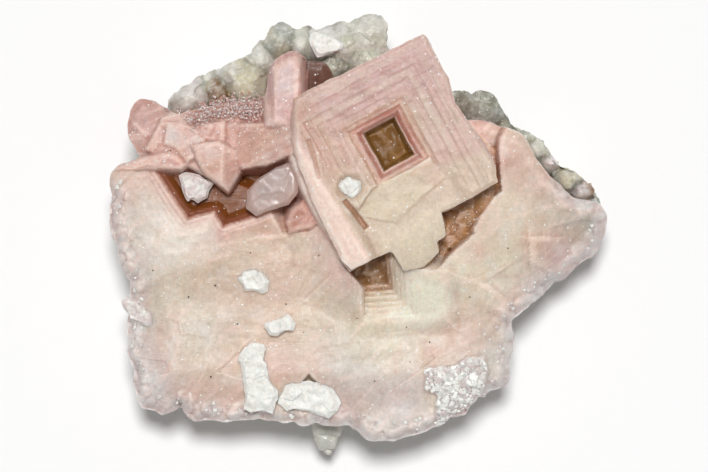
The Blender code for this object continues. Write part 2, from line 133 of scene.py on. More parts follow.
def bricks(x, y, size, turn, seed):
    # one number from 0 to 1 for each brick, the rows shifted at random along their length
    u, v = turned(x, y, turn)
    row = np.floor(v / size[1]).astype(np.int64)
    zero = np.zeros_like(row)
    shift = latticeValue(np.stack([row, zero, zero], axis=-1), seed + 5)
    column = np.floor(u / size[0] + shift).astype(np.int64)
    return latticeValue(np.stack([column, row, zero], axis=-1), seed)


def shards(x, y, size, turn, stretch, seed):
    # nearest of one jittered centre in each cell: its three numbers, the offset from it and the gap to
    # the next
    u, v = turned(x, y, turn)
    u, v = u / (size * stretch), v / size
    cellU, cellV = np.floor(u).astype(np.int64), np.floor(v).astype(np.int64)
    nearest = np.full(u.shape, 9.0)
    second = np.full(u.shape, 9.0)
    kept = [np.zeros(u.shape) for _ in range(5)]
    for stepU in (-1, 0, 1):
        for stepV in (-1, 0, 1):
            cell = np.stack([cellU + stepU, cellV + stepV, np.zeros_like(cellU)], axis=-1)
            numbers = [latticeValue(cell, seed + 31 * k) for k in range(5)]
            du = u - cell[..., 0] - 0.5 - 0.8 * (numbers[3] - 0.5)
            dv = v - cell[..., 1] - 0.5 - 0.8 * (numbers[4] - 0.5)
            away = np.hypot(du, dv)
            closer = away < nearest
            second = np.where(closer, nearest, np.minimum(second, away))
            nearest = np.where(closer, away, nearest)
            found = numbers[:3] + [du * size * stretch, dv * size]
            kept = [np.where(closer, new, old) for new, old in zip(found, kept)]
    return kept[0], kept[1], kept[2], kept[3], kept[4], (second - nearest) * size


def shardRelief(x, y, size, turn, stretch, seed, lift, tilt, crease):
    # each shard stands at its own height and leans its own way, with a fine crease along its edges
    a, b, c, du, dv, gap = shards(x, y, size, turn, stretch, seed)
    flat = lift * (a - 0.5) + tilt * ((b - 0.5) * du + (c - 0.5) * dv)
    return flat - crease * np.exp(-((gap / (0.09 * size)) ** 2))


def growthLines(inset, along, spacing, seed):
    # fine ridges at even distances from an edge, fading in and out along it; -1 to 1
    fine = flatPoints(inset / spacing, along / (spacing * 14.0))
    return softNoise(fine, 1, seed, 2)


def insetFrom(x, y, box):
    # distance inside a rectangle (x0, x1, y0, y1), negative outside
    x0, x1, y0, y1 = box
    return np.minimum(np.minimum(x - x0, x1 - x), np.minimum(y - y0, y1 - y))


def insetPolygon(x, y, corners):
    # distance inside a convex outline given anticlockwise, negative outside
    inset = np.full(x.shape, 1e9)
    for start, end in zip(corners, corners[1:] + corners[:1]):
        dx, dy = end[0] - start[0], end[1] - start[1]
        side = ((y - start[1]) * dx - (x - start[0]) * dy) / np.hypot(dx, dy)
        inset = np.minimum(inset, side)
    return inset


def insetOutline(x, y, corners):
    # distance inside any closed outline of corners, to its nearest side; negative outside
    nearest = np.full(x.shape, 1e9)
    inside = np.zeros(x.shape, bool)
    for start, end in zip(corners, corners[1:] + corners[:1]):
        dx, dy = end[0] - start[0], end[1] - start[1]
        along = np.clip(((x - start[0]) * dx + (y - start[1]) * dy) / (dx * dx + dy * dy), 0, 1)
        nearest = np.minimum(nearest, np.hypot(x - start[0] - along * dx, y - start[1] - along * dy))
        if dy:
            crossed = (start[1] > y) != (end[1] > y)
            inside ^= crossed & (x < start[0] + dx * (y - start[1]) / dy)
    return np.where(inside, nearest, -nearest)


def softHigher(first, second, soft):
    # the higher of two surfaces with the crease between them filled, and how far the second one shows
    gap = second - first
    root = np.sqrt(gap * gap + soft * soft)
    return 0.5 * (first + second + root), 0.5 * (1.0 + gap / root)


def steppedPit(x, y, levels, wander=0.0):
    # each level is its rectangles, its drop and the run of its wall; the drops add up inwards, and the
    # edges
    # of the steps wander a little and break off in places
    depth = np.zeros(x.shape)
    for number, (boxes, drop, run) in enumerate(levels):
        inset = np.max([insetFrom(x, y, box) for box in boxes], axis=0)
        if wander:
            inset += wander * softNoise(flatPoints(x, y), 5, 900 + number, 4)
        depth += drop * np.clip(inset / run, 0, 1)
    return depth


def gridLine(half, cell):
    # even steps from -half to half
    return np.round(np.linspace(-half, half, int(2 * half / cell) + 1), 4)


def outlineReach(outline, angles, soften):
    # how far a closed line of corners lies from the origin in each direction, averaged over a few degrees
    corners = np.array(outline, float)
    shares = np.linspace(0.0, 1.0, 24, endpoint=False)[:, None, None]
    dense = corners * (1.0 - shares) + np.roll(corners, -1, axis=0) * shares
    dense = dense.transpose(1, 0, 2).reshape(-1, 2)
    bearing = np.arctan2(dense[:, 1], dense[:, 0])
    order = np.argsort(bearing)
    reach = np.hypot(dense[:, 0], dense[:, 1])
    even = np.linspace(-np.pi, np.pi, 1440, endpoint=False)
    found = np.interp(even, bearing[order], reach[order], period=2.0 * np.pi)
    steps = np.arange(-24, 25)
    bell = np.exp(-((steps * 0.25 / soften) ** 2))
    smooth = sum(np.roll(found, step) * share for step, share in zip(steps, bell)) / bell.sum()
    return np.interp(angles, even, smooth, period=2.0 * np.pi)


def standsOver(height, reach):
    # how far each place of a grid stands above the mean of the places a few cells away on four sides
    wide = np.pad(height, reach, mode="edge")
    size = height.shape
    around = 0.0
    for stepX, stepY in ((0, reach), (2 * reach, reach), (reach, 0), (reach, 2 * reach)):
        around += wide[stepX:stepX + size[0], stepY:stepY + size[1]]
    return height - around / 4.0


def plate(shape, topHeight):
    # A closed body under a height field. The top is a grid along the crystal's own axes, pulled out to the
    # outline near its margin. The wall is carried down from its border in rows, swells by a sine and may
    # flare out just below the rim.
    halfX, halfY = shape["half"]
    cell = shape.get("cell", 0.4)
    x, y = np.meshgrid(gridLine(halfX, cell), gridLine(halfY, cell))
    margin = np.maximum(np.abs(x) / halfX, np.abs(y) / halfY)
    turn = radians(shape["turn"])
    alongX, alongY = np.array([cos(turn), sin(turn)]), np.array([-sin(turn), cos(turn)])
    centre = np.array(shape["centre"], float)
    worldX = x * alongX[0] + y * alongY[0]
    worldY = x * alongX[1] + y * alongY[1]
    # the outline is given in the shared frame or, as ownOutline, along the crystal's own axes
    if "outline" in shape:
        outline = np.array(shape["outline"], float) - centre
    else:
        outline = np.array(shape["ownOutline"], float) @ np.stack([alongX, alongY])
    bearing = np.arctan2(worldY, worldX)
    edge = np.hypot(worldX, worldY) / np.maximum(margin, 1e-6)
    wanted = outlineReach(outline, bearing, shape.get("soften", 0.3))
    rag = softNoise(flatPoints(wanted * np.cos(bearing), wanted * np.sin(bearing)), 2.2, 77, 3)
    wanted = wanted + shape["ragged"] * rag
    pull = 1.0 + ramp(margin, shape.get("inner", 0.3), 1) * (wanted / np.maximum(edge, 1e-6) - 1.0)
    worldX, worldY = worldX * pull + centre[0], worldY * pull + centre[1]
    height = topHeight(worldX, worldY, x, y, margin)
    top = np.stack([worldX, worldY, height], axis=-1)
    ridge = sum(standsOver(height, reach) for reach in shape.get("ridges", (1, 3)))
    rowCount, columnCount = x.shape
    number = np.arange(rowCount * columnCount).reshape(rowCount, columnCount)
    corners = (number[:-1, :-1], number[:-1, 1:], number[1:, 1:], number[1:, :-1])
    faces = [np.stack(corners, -1).reshape(-1, 4)]
    border = np.concatenate([number[0, :-1], number[:-1, -1], number[-1, :0:-1], number[:0:-1, 0]])
    flat = top.reshape(-1, 3)
    rim = flat[border]
    outward = rim[:, :2] - centre
    outward /= np.linalg.norm(outward, axis=1, keepdims=True)
    foot, rows = shape["foot"], shape.get("rows", 24)
    swell, spread, flare = shape.get("swell", 0.0), shape.get("spread", 0.0), shape.get("flare", 0.0)
    share = (np.arange(1, rows + 1) / rows)[:, None] ** 1.3
    wallZ = rim[None, :, 2] + (foot - rim[None, :, 2]) * share
    push = swell * np.sin(np.pi * share) + spread * share + flare * (1.0 - np.exp(-8.0 * share))
    wallXY = rim[None, :, :2] + outward[None] * push[..., None]
    wall = np.concatenate([wallXY, wallZ[..., None]], axis=-1).reshape(-1, 3)
    loop = len(border)
    rings = np.concatenate([border[None], len(flat) + np.arange(rows * loop).reshape(rows, loop)])
    after = np.roll(rings, -1, axis=1)
    faces.append(np.stack([rings[:-1], rings[1:], after[1:], after[:-1]], -1).reshape(-1, 4))
    pole = len(flat) + rows * loop
    floorPoint = np.array([[centre[0], centre[1], foot]])
    bottom = np.stack([after[-1], rings[-1], np.full(loop, pole)], -1)
    points = np.concatenate([flat, wall, floorPoint])
    zeros = np.zeros(rows * loop + 1)
    local = {
        "top": np.concatenate([np.ones(len(flat)), zeros]),
        "wall": np.concatenate([np.zeros(len(flat)), np.repeat(share.ravel(), loop), [1.0]]),
        "ridge": np.concatenate([ridge.ravel(), zeros]),
        "above": np.concatenate([np.arange(len(flat)), np.tile(border, rows), border[:1]]),
    }
    return points, np.concatenate(faces).tolist() + bottom.tolist(), local


def roughen(points, amounts, foot):
    # moves every point by noise of each (size, distance), fading out at the flat foot
    hold = ramp(points[:, 2], foot + 0.05, foot + 2.5)[:, None]
    moved = points.copy()
    for size, distance, seed in amounts:
        push = np.stack([softNoise(points, size, seed + k * 7, 2) for k in range(3)], axis=-1)
        moved += push * distance * hold
    return moved


def craggy(points, wall, amounts, foot):
    # as roughen, but only on the walls, growing from nothing at the rim
    moved = roughen(points, amounts, foot)
    return points + (moved - points) * ramp(wall, 0, 0.12)[:, None]


def leaned(points, pivot, lean, towards):
    # turned about a level axis through a pivot, so that the top tips towards a bearing counted from +X
    axis = Vector((-sin(radians(towards)), cos(radians(towards)), 0.0))
    turn = np.array(Matrix.Rotation(radians(lean), 3, axis))
    return (points - np.array(pivot)) @ turn.T + np.array(pivot)


def paint(points, base, patches, seed=0, wobble=0.35):
    # the base colour, with each patch (x, y, radius, colour, share) laid over it as a soft blot
    colour = np.tile(linear(base), (len(points), 1))
    drift = softNoise(points, 9, 400 + seed, 3)
    for x, y, radius, name, share in patches:
        away = np.hypot(points[:, 0] - x, points[:, 1] - y) / radius
        weight = share * np.exp(-((away * (1.0 + wobble * drift)) ** 2))
        colour = blendColour(colour, name, weight)
    return colour


def paintEdgeLightAndCreaseShade(colour, local, pale, creaseShade, edgeLightShare, creaseShadeShare, reach=0.12):
    # painted highlight on edges that stand out and painted shade in the creases
    ridge = local["ridge"] / reach
    colour = blendColour(colour, pale, edgeLightShare * ramp(ridge, 0.25, 1.5))
    return blendColour(colour, creaseShade, creaseShadeShare * ramp(-ridge, 0.25, 1.5))


def blendColour(colour, name, weight):
    # the colour mixed with a named one: 0 leaves it, 1 replaces it
    weight = np.clip(weight, 0, 1)[:, None]
    return mixed(colour, linear(name), weight)


def layered(colour, layers):
    # each (name, weight) laid over the colour in turn
    for name, weight in layers:
        colour = blendColour(colour, name, weight)
    return colour


def makePiece(name, points, faces, material, colour, sharp=32.0):
    # points in millimetres become a closed mesh that rides on the specimen
    mesh = bpy.data.meshes.new(name)
    mesh.from_pydata((points * mm).tolist(), [], faces)
    tint = mesh.color_attributes.new("tint", "FLOAT_COLOR", "POINT")
    tint.data.foreach_set("color", np.column_stack([colour, np.ones(len(colour))]).ravel())
    mesh.materials.append(material)
    mesh.update()
    if sharp:
        mesh.shade_smooth()
        mesh.set_sharp_from_angle(angle=radians(sharp))
    piece = bpy.data.objects.new(name, mesh)
    bpy.context.scene.collection.objects.link(piece)
    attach(piece, "root")
    return piece


def superBall(around, up, square):
    # cos and sin of longitude and latitude, each raised to a power: 1 is a ball, small powers are boxes
    lon = np.linspace(0.0, 2.0 * np.pi, around, endpoint=False)
    lat = np.linspace(-0.5 * np.pi, 0.5 * np.pi, up + 1)[1:-1]
    lat, lon = np.meshgrid(lat, lon, indexing="ij")
    power = lambda value: np.sign(value) * np.abs(value) ** square
    ring = np.stack([power(np.cos(lat)) * power(np.cos(lon)), power(np.cos(lat)) * power(np.sin(lon)),
                     power(np.sin(lat))], -1)
    points = np.concatenate([ring.reshape(-1, 3), [[0.0, 0.0, -1.0], [0.0, 0.0, 1.0]]])
    number = np.arange(ring.shape[0] * around).reshape(ring.shape[0], around)
    after = np.roll(number, -1, axis=1)
    quads = np.stack([number[:-1], after[:-1], after[1:], number[1:]], -1).reshape(-1, 4)
    low, high = len(points) - 2, len(points) - 1
    caps = np.concatenate([np.stack([after[0], number[0], np.full(around, low)], -1),
                           np.stack([number[-1], after[-1], np.full(around, high)], -1)])
    return points, quads, caps


def spins(count, draw):
    # one random turn for each grain, from four normal numbers as a unit quaternion
    w, x, y, z = draw.normal(size=(4, count))
    size = np.sqrt(w * w + x * x + y * y + z * z)
    w, x, y, z = w / size, x / size, y / size, z / size
    return np.stack([
        1 - 2 * (y * y + z * z), 2 * (x * y - z * w), 2 * (x * z + y * w),
        2 * (x * y + z * w), 1 - 2 * (x * x + z * z), 2 * (y * z - x * w),
        2 * (x * z - y * w), 2 * (y * z + x * w), 1 - 2 * (x * x + y * y)], -1).reshape(-1, 3, 3)


def grainCloud(centres, radii, draw, around=8, up=6, square=0.32, rough=0.1):
    # many closed grains as one mesh: a super ball, dented at random, turned, sized and set at each centre
    ball, quads, caps = superBall(around, up, square)
    count = len(centres)
    dents = 1.0 + rough * draw.uniform(-1.0, 1.0, (count, len(ball), 1))
    body = ball[None] * dents * radii[:, None, :]
    body = np.einsum("nij,npj->npi", spins(count, draw), body)
    points = (body + centres[:, None, :]).reshape(-1, 3)
    step = (np.arange(count) * len(ball))[:, None, None]
    faces = (quads[None] + step).reshape(-1, 4).tolist() + (caps[None] + step).reshape(-1, 3).tolist()
    return points, faces, np.repeat(np.arange(count), len(ball))


def lumpBody(centre, size, turn, square=0.62, around=72, up=44, noise=((3.0, 0.5, 1),), flatFoot=None):
    # one dented super ball, sized, turned about Z and roughened by noise along its own radius
    ball, quads, caps = superBall(around, up, square)
    points = ball * np.array(size) / 2.0
    c, s = cos(radians(turn)), sin(radians(turn))
    points = points @ np.array([[c, s, 0.0], [-s, c, 0.0], [0.0, 0.0, 1.0]])
    away = points / np.linalg.norm(points, axis=1, keepdims=True)
    points += np.array(centre)
    for grain, distance, seed in noise:
        points = points + away * (distance * softNoise(points, grain, seed, 3))[:, None]
    if flatFoot is not None:
        points[:, 2] = np.maximum(points[:, 2], flatFoot)
    return points, quads.tolist() + caps.tolist()


def joinBodies(bodies):
    # several closed bodies (points, faces, colours) as one mesh
    points, faces, colours, start = [], [], [], 0
    for some, found, colour in bodies:
        points.append(some)
        colours.append(colour)
        faces += [[corner + start for corner in face] for face in found]
        start += len(some)
    return np.concatenate(points), faces, np.concatenate(colours)


def addNode(tree, kind, **values):
    # a new node; each value goes to the input, or else the setting, of that name
    made = tree.nodes.new("ShaderNode" + kind)
    for key, value in values.items():
        if key in made.inputs:
            made.inputs[key].default_value = value
        else:
            setattr(made, key, value)
    return made


def rangeNode(tree, source, low, high, toLow=0.0, toHigh=1.0):
    # source rescaled from low..high to toLow..toHigh and held there beyond
    made = addNode(tree, "MapRange")
    for label, value in (("From Min", low), ("From Max", high), ("To Min", toLow), ("To Max", toHigh)):
        made.inputs[label].default_value = value
    tree.links.new(source, made.inputs["Value"])
    return made.outputs["Result"]


def noiseNode(tree, place, scale, detail, stretch=None, turn=0.0):
    # cloud noise, or with a stretch fine parallel lines along one axis of the crystal
    if stretch:
        mapping = addNode(tree, "Mapping")
        mapping.inputs["Rotation"].default_value = (0.06, 0.04, -radians(turn))
        mapping.inputs["Scale"].default_value = stretch
        tree.links.new(place, mapping.inputs["Vector"])
        place = mapping.outputs["Vector"]
    noise = addNode(tree, "TexNoise", Scale=scale, Detail=detail, Roughness=0.62)
    tree.links.new(place, noise.inputs["Vector"])
    return noise.outputs["Fac"]


def mathNode(tree, operation, first, second):
    # one sum or product of two values, each a number or a socket
    made = addNode(tree, "Math", operation=operation)
    for socket, value in zip(made.inputs, (first, second)):
        if isinstance(value, float):
            socket.default_value = value
        else:
            tree.links.new(value, socket)
    return made.outputs["Value"]


def mixColour(tree, share, under, over):
    # a fixed colour over a socket by the share of another socket
    made = addNode(tree, "Mix", data_type="RGBA")
    tree.links.new(share, made.inputs[0])
    tree.links.new(under, made.inputs[6])
    made.inputs[7].default_value = over
    return made.outputs[2]


def saltMaterial(name, recipe):
    # the painted tint, made darker and lighter by clouds and by cleavage lines that run along one or the
    # other axis of the crystal, with frosted patches and painted glints, small white flecks that are also
    # glossier and raised, over a milky body with a finely pitted skin
    material = bpy.data.materials.new(name)
    material.use_nodes = True
    tree = material.node_tree
    link = tree.links.new
    shader = tree.nodes["Principled BSDF"]
    place = addNode(tree, "TexCoord").outputs["Object"]
    tint = addNode(tree, "Attribute", attribute_name="tint").outputs["Color"]
    turn = recipe.get("turn", 0.0)
    clouds = noiseNode(tree, place, recipe["cloud"], 5.0)
    across = noiseNode(tree, place, recipe["line"], 4.0, (1.0, 10.0, 2.0), turn)
    upwards = noiseNode(tree, place, recipe["line"], 4.0, (10.0, 1.0, 2.0), turn)
    which = rangeNode(tree, noiseNode(tree, place, 130.0, 2.0), 0.45, 0.55)
    lines = addNode(tree, "Mix", data_type="FLOAT")
    link(which, lines.inputs[0])
    link(across, lines.inputs[2])
    link(upwards, lines.inputs[3])
    lines = lines.outputs[0]
    glintFlecks = addNode(tree, "TexVoronoi", Scale=recipe["glintFleck"])
    link(place, glintFlecks.inputs["Vector"])
    tone = addNode(tree, "SeparateColor")
    link(glintFlecks.outputs["Color"], tone.inputs[0])
    speckle = rangeNode(tree, tone.outputs[1], 0.0, 1.0, 1.0 - recipe["speckle"], 1.0 + recipe["speckle"])
    shade = mathNode(tree, "MULTIPLY", rangeNode(tree, clouds, 0.3, 0.7, recipe["dark"], recipe["light"]),
                     rangeNode(tree, lines, 0.3, 0.7, 1.0 - recipe["lineDepth"], 1.0 + recipe["lineDepth"]))
    shade = mathNode(tree, "MULTIPLY", shade, speckle)
    shaded = addNode(tree, "VectorMath", operation="SCALE")
    link(tint, shaded.inputs[0])
    link(shade, shaded.inputs["Scale"])
    # frost and scratches are held back where the tint is dark
    bright = addNode(tree, "RGBToBW")
    link(tint, bright.inputs[0])
    bright = rangeNode(tree, bright.outputs[0], 0.14, 0.42, 0.08, 1.0)
    frost = noiseNode(tree, place, recipe["frost"], 4.0)
    frost = rangeNode(tree, frost, 0.52, 0.78, 0.0, recipe["frostShare"])
    frost = mathNode(tree, "MULTIPLY", frost, bright)
    frosted = mixColour(tree, frost, shaded.outputs["Vector"], (0.86, 0.84, 0.80, 1.0))
    scratch = noiseNode(tree, place, 2.2 * recipe["line"], 2.0, (1.0, 16.0, 3.0), turn + 24.0)
    scratch = rangeNode(tree, scratch, 0.6, 0.72, 0.0, recipe["scratches"])
    scratch = mathNode(tree, "MULTIPLY", scratch, bright)
    frosted = mixColour(tree, scratch, frosted, (0.93, 0.89, 0.85, 1.0))
    # painted glints: a few cells of small white flecks are mixed into the base colour
    chosen = rangeNode(tree, tone.outputs[0], 1.0 - recipe["glintFlecks"], 1.0 - 0.8 * recipe["glintFlecks"])
    small = rangeNode(tree, glintFlecks.outputs["Distance"], 0.42, 0.22)
    glintFleck = mathNode(tree, "MULTIPLY", chosen, small)
    link(mixColour(tree, glintFleck, frosted, (0.97, 0.96, 0.94, 1.0)), shader.inputs["Base Color"])
    gloss = rangeNode(tree, lines, 0.35, 0.65, recipe["rough"][0], recipe["rough"][1])
    link(mathNode(tree, "MULTIPLY", gloss, rangeNode(tree, glintFleck, 0.0, 1.0, 1.0, 0.4)),
         shader.inputs["Roughness"])
    grit = addNode(tree, "TexVoronoi", Scale=recipe["grit"])
    link(place, grit.inputs["Vector"])
    pitted = mathNode(tree, "MULTIPLY", grit.outputs["Distance"], recipe["gritShare"])
    bump = addNode(tree, "Bump", Strength=recipe["bump"], Distance=0.0003)
    link(mathNode(tree, "ADD", lines, mathNode(tree, "ADD", pitted, glintFleck)), bump.inputs["Height"])
    link(bump.outputs["Normal"], shader.inputs["Normal"])
    shader.inputs["IOR"].default_value = 1.54
    shader.inputs["Subsurface Weight"].default_value = recipe["milk"]
    shader.inputs["Subsurface Radius"].default_value = (1.0, 0.9, 0.84)
    shader.inputs["Subsurface Scale"].default_value = recipe["depth"]
    shader.inputs["Transmission Weight"].default_value = recipe.get("clear", 0.0)
    return material


softBody = {
    "cloud": 240.0, "line": 330.0, "frost": 620.0, "glintFleck": 1700.0, "grit": 1000.0,
    "dark": 0.95, "light": 1.05, "lineDepth": 0.05, "frostShare": 0.16, "glintFlecks": 0.045, "scratches": 0.6,
    "rough": (0.34, 0.6), "gritShare": 0.4, "bump": 0.3, "milk": 1.0, "depth": 0.002, "speckle": 0.06,
}
pinkSalt = saltMaterial("pinkSalt", softBody)
mainSalt = saltMaterial("mainSalt", {**softBody, "turn": 28.5, "lineDepth": 0.06, "line": 420.0})
greySalt = saltMaterial("greySalt", {
    **softBody, "cloud": 330.0, "frost": 800.0, "grit": 900.0, "dark": 0.8, "light": 1.14,
    "frostShare": 0.6, "glintFlecks": 0.06, "gritShare": 0.6, "depth": 0.0014})
whiteSalt = saltMaterial("whiteSalt", {
    **softBody, "cloud": 450.0, "frost": 900.0, "dark": 0.94, "lineDepth": 0.04,
    "frostShare": 0.6, "glintFlecks": 0.06, "gritShare": 0.5, "depth": 0.0008})
grainSalt = saltMaterial("grainSalt", {
    **softBody, "cloud": 500.0, "frost": 900.0, "lineDepth": 0.03, "bump": 0.1, "glintFlecks": 0.1, "milk": 0.0,
    "depth": 0.0005})
clearSalt = saltMaterial("clearSalt", {
    **softBody, "lineDepth": 0.02, "frostShare": 0.3, "bump": 0.04, "scratches": 0.1,
    "rough": (0.28, 0.32), "milk": 0.5, "depth": 0.003, "clear": 0.4})
print("finishes made")


# The largest hopper, in its own axes.
mainHopper = {
    "centre": (7.3, 19.8), "turn": 28.5, "half": (18.8, 18.9), "top": 44, "foot": 12, "cell": 0.21,
    "lean": 1.5, "towards": 40, "rows": 34, "spread": -1.5, "inner": 0.45, "ragged": 0.2,
    "tone": (0.895, 0.84, 0.825),
    "ownOutline": ((18.8, 18.6), (18.9, 6.9), (17.7, 1.3), (18.4, -4.2), (18.7, -14.8), (17.4, -18.6),
        (6.6, -18.8), (3.2, -18.4), (2.6, -20.5), (1.7, -23.5), (-1, -23.9), (-1.2, -26), (-5.9, -27.3),
        (-10.4, -26.1), (-10.6, -21.6), (-11, -20.8), (-13.8, -20.4), (-20.6, -20.2), (-21.5, -17.4),
        (-21, -3), (-19.6, 8), (-17.4, 15), (-13.8, 19.8), (0, 19.3)),
    # rectangles of each step (x0, x1, y0, y1) in the crystal's own axes, its drop and the run of its wall
    "steps": (
        (((-17, 16.2, -30, 16.4),), 0.12, 0.4),
        (((-16, 15.3, -30, 15.6),), 0.12, 0.4),
        (((-14.7, 13.7, -30, 14),), 0.26, 0.45),
        (((-12.4, 11.3, -30, 12),), 0.24, 0.45),
        (((-10.6, 9.7, -30, 10.4),), 0.16, 0.4),
        (((-8.4, 8.1, -30, 8.6),), 0.4, 0.5),
        (((-6.9, 6.7, -7, 7.6),), 0.6, 0.6),
        (((-5.3, 5.5, -5.8, 6.4),), 1.3, 0.9),
        (((-3.7, 4.1, -4.2, 5.3),), 3.4, 0.8),
    ),
    "hole": {"centre": (0.2, 0.5), "half": (3.9, 4.8)},
    "slot": {"centre": (-13.9, -9.6), "half": (0.65, 4), "turn": 10.5, "drop": 1.2},
    "groove": {"centre": (-16.2, 5.6), "half": (0.5, 4.6), "turn": -14, "drop": 0.4},
    # a smooth slab lies over the lower side of the pit: its corners anticlockwise, and its height
    "slab": ((6.9, -6.3), (-8.2, -6.4), (-14.3, -9.8), (-7.1, -15.5), (7.9, -12.1)),
    "slabTop": 43.1, "slabLift": 0.22,
}


def slotDepth(x, y, slot):
    # a turned rectangular slot whose floor is reached by a soft step at its sides
    u, v = turned(x - slot["centre"][0], y - slot["centre"][1], slot["turn"])
    inset = np.minimum(slot["half"][0] - np.abs(u), slot["half"][1] - np.abs(v))
    return slot["drop"] * ramp(inset, -0.15, 0.35)


def holeInset(x, y):
    # distance outside the deep square hole, to whichever side is further off
    hole = mainHopper["hole"]
    acrossX = np.abs(x - hole["centre"][0]) - hole["half"][0]
    acrossY = np.abs(y - hole["centre"][1]) - hole["half"][1]
    return np.maximum(acrossX, acrossY)


def mainTop(worldX, worldY, gridX, gridY, margin):
    # the flat top less its steps, hole, slots and worn edges, with fine lines and bricks of growth added
    x, y = turned(worldX - mainHopper["centre"][0], worldY - mainHopper["centre"][1], mainHopper["turn"])
    flat = flatPoints(x, y)
    outwards = holeInset(x, y)
    along = np.where(np.abs(x) > np.abs(y), y, x)
    inner = ramp(outwards, -0.5, 0.5)
    faint = 0.35 + 0.65 * ramp(softNoise(flat, 7, 17, 3), -0.35, 0.35)
    height = mainHopper["top"] - faint * steppedPit(x, y, mainHopper["steps"][:6], 0.12)
    height -= steppedPit(x, y, mainHopper["steps"][6:], 0.2)
    lines = growthLines(outwards, along, 0.5, 11) + 0.8 * growthLines(outwards, along + 50.0, 1.3, 12)
    height += 0.035 * lines * inner
    height += 0.12 * (bricks(x, y, (5, 1.1), 0, 13) - 0.5) * ramp(y, 4, 8) * inner
    height += 0.14 * (bricks(x, y, (0.8, 6), 0, 14) - 0.5) * ramp(x, -5, -9) * inner
    height -= slotDepth(x, y, mainHopper["groove"])
    # the left flank and the far left corner slope down into the neighbours
    height -= 0.9 * ramp(x + 0.05 * y, -17.2, -21.5)
    height -= 6.0 * ramp(-0.906 * (x + 13.1) + 0.424 * (y - 19.9), 0, 3.5)
    # rubble on the floor of the hole, higher at the lower right
    floor = 0.7 * softNoise(flat, 2.4, 15, 3) + 1.4 * ramp(x - y, 1, 6)
    height += floor * ramp(outwards, -0.6, -1.4)
    # the lower side of the pit is one smooth slope with a slab on it
    smooth = ramp(-y, 8, 10.5) * ramp(x, -15.6, -13.6) * ramp(x, 11, 8)
    plane = mainHopper["slabTop"] - mainHopper["slabLift"] + 0.03 * x + 0.02 * y
    plane += 0.06 * softNoise(flat, 4, 41, 2)
    # below the lower edge the slope runs on as a tongue that falls more steeply
    tongue = np.maximum(-18.0 - y, 0)
    plane = plane - 0.05 * tongue - 0.035 * tongue**2
    height = mixed(height, plane, smooth)
    onSlab = ramp(insetPolygon(x, y, mainHopper["slab"]) + 0.15 * softNoise(flat, 2, 42, 2), -0.1, 0.35)
    height = mixed(height, plane + mainHopper["slabLift"], onSlab)
    height -= slotDepth(x, y, mainHopper["slot"])
    height -= 1.0 * ramp(np.hypot(x + 12.2, y + 3.8), 3.6, 1.8)
    worn = softNoise(flat, 3, 21, 3)
    edge = ramp(margin, 0.95, 1) * (1.0 - 0.7 * ramp(-y, 15.5, 17) * ramp(12.0 - x, 0, 4))
    return height - edge * (0.35 + 0.9 * np.clip(worn, 0, 1)) + 0.06 * worn


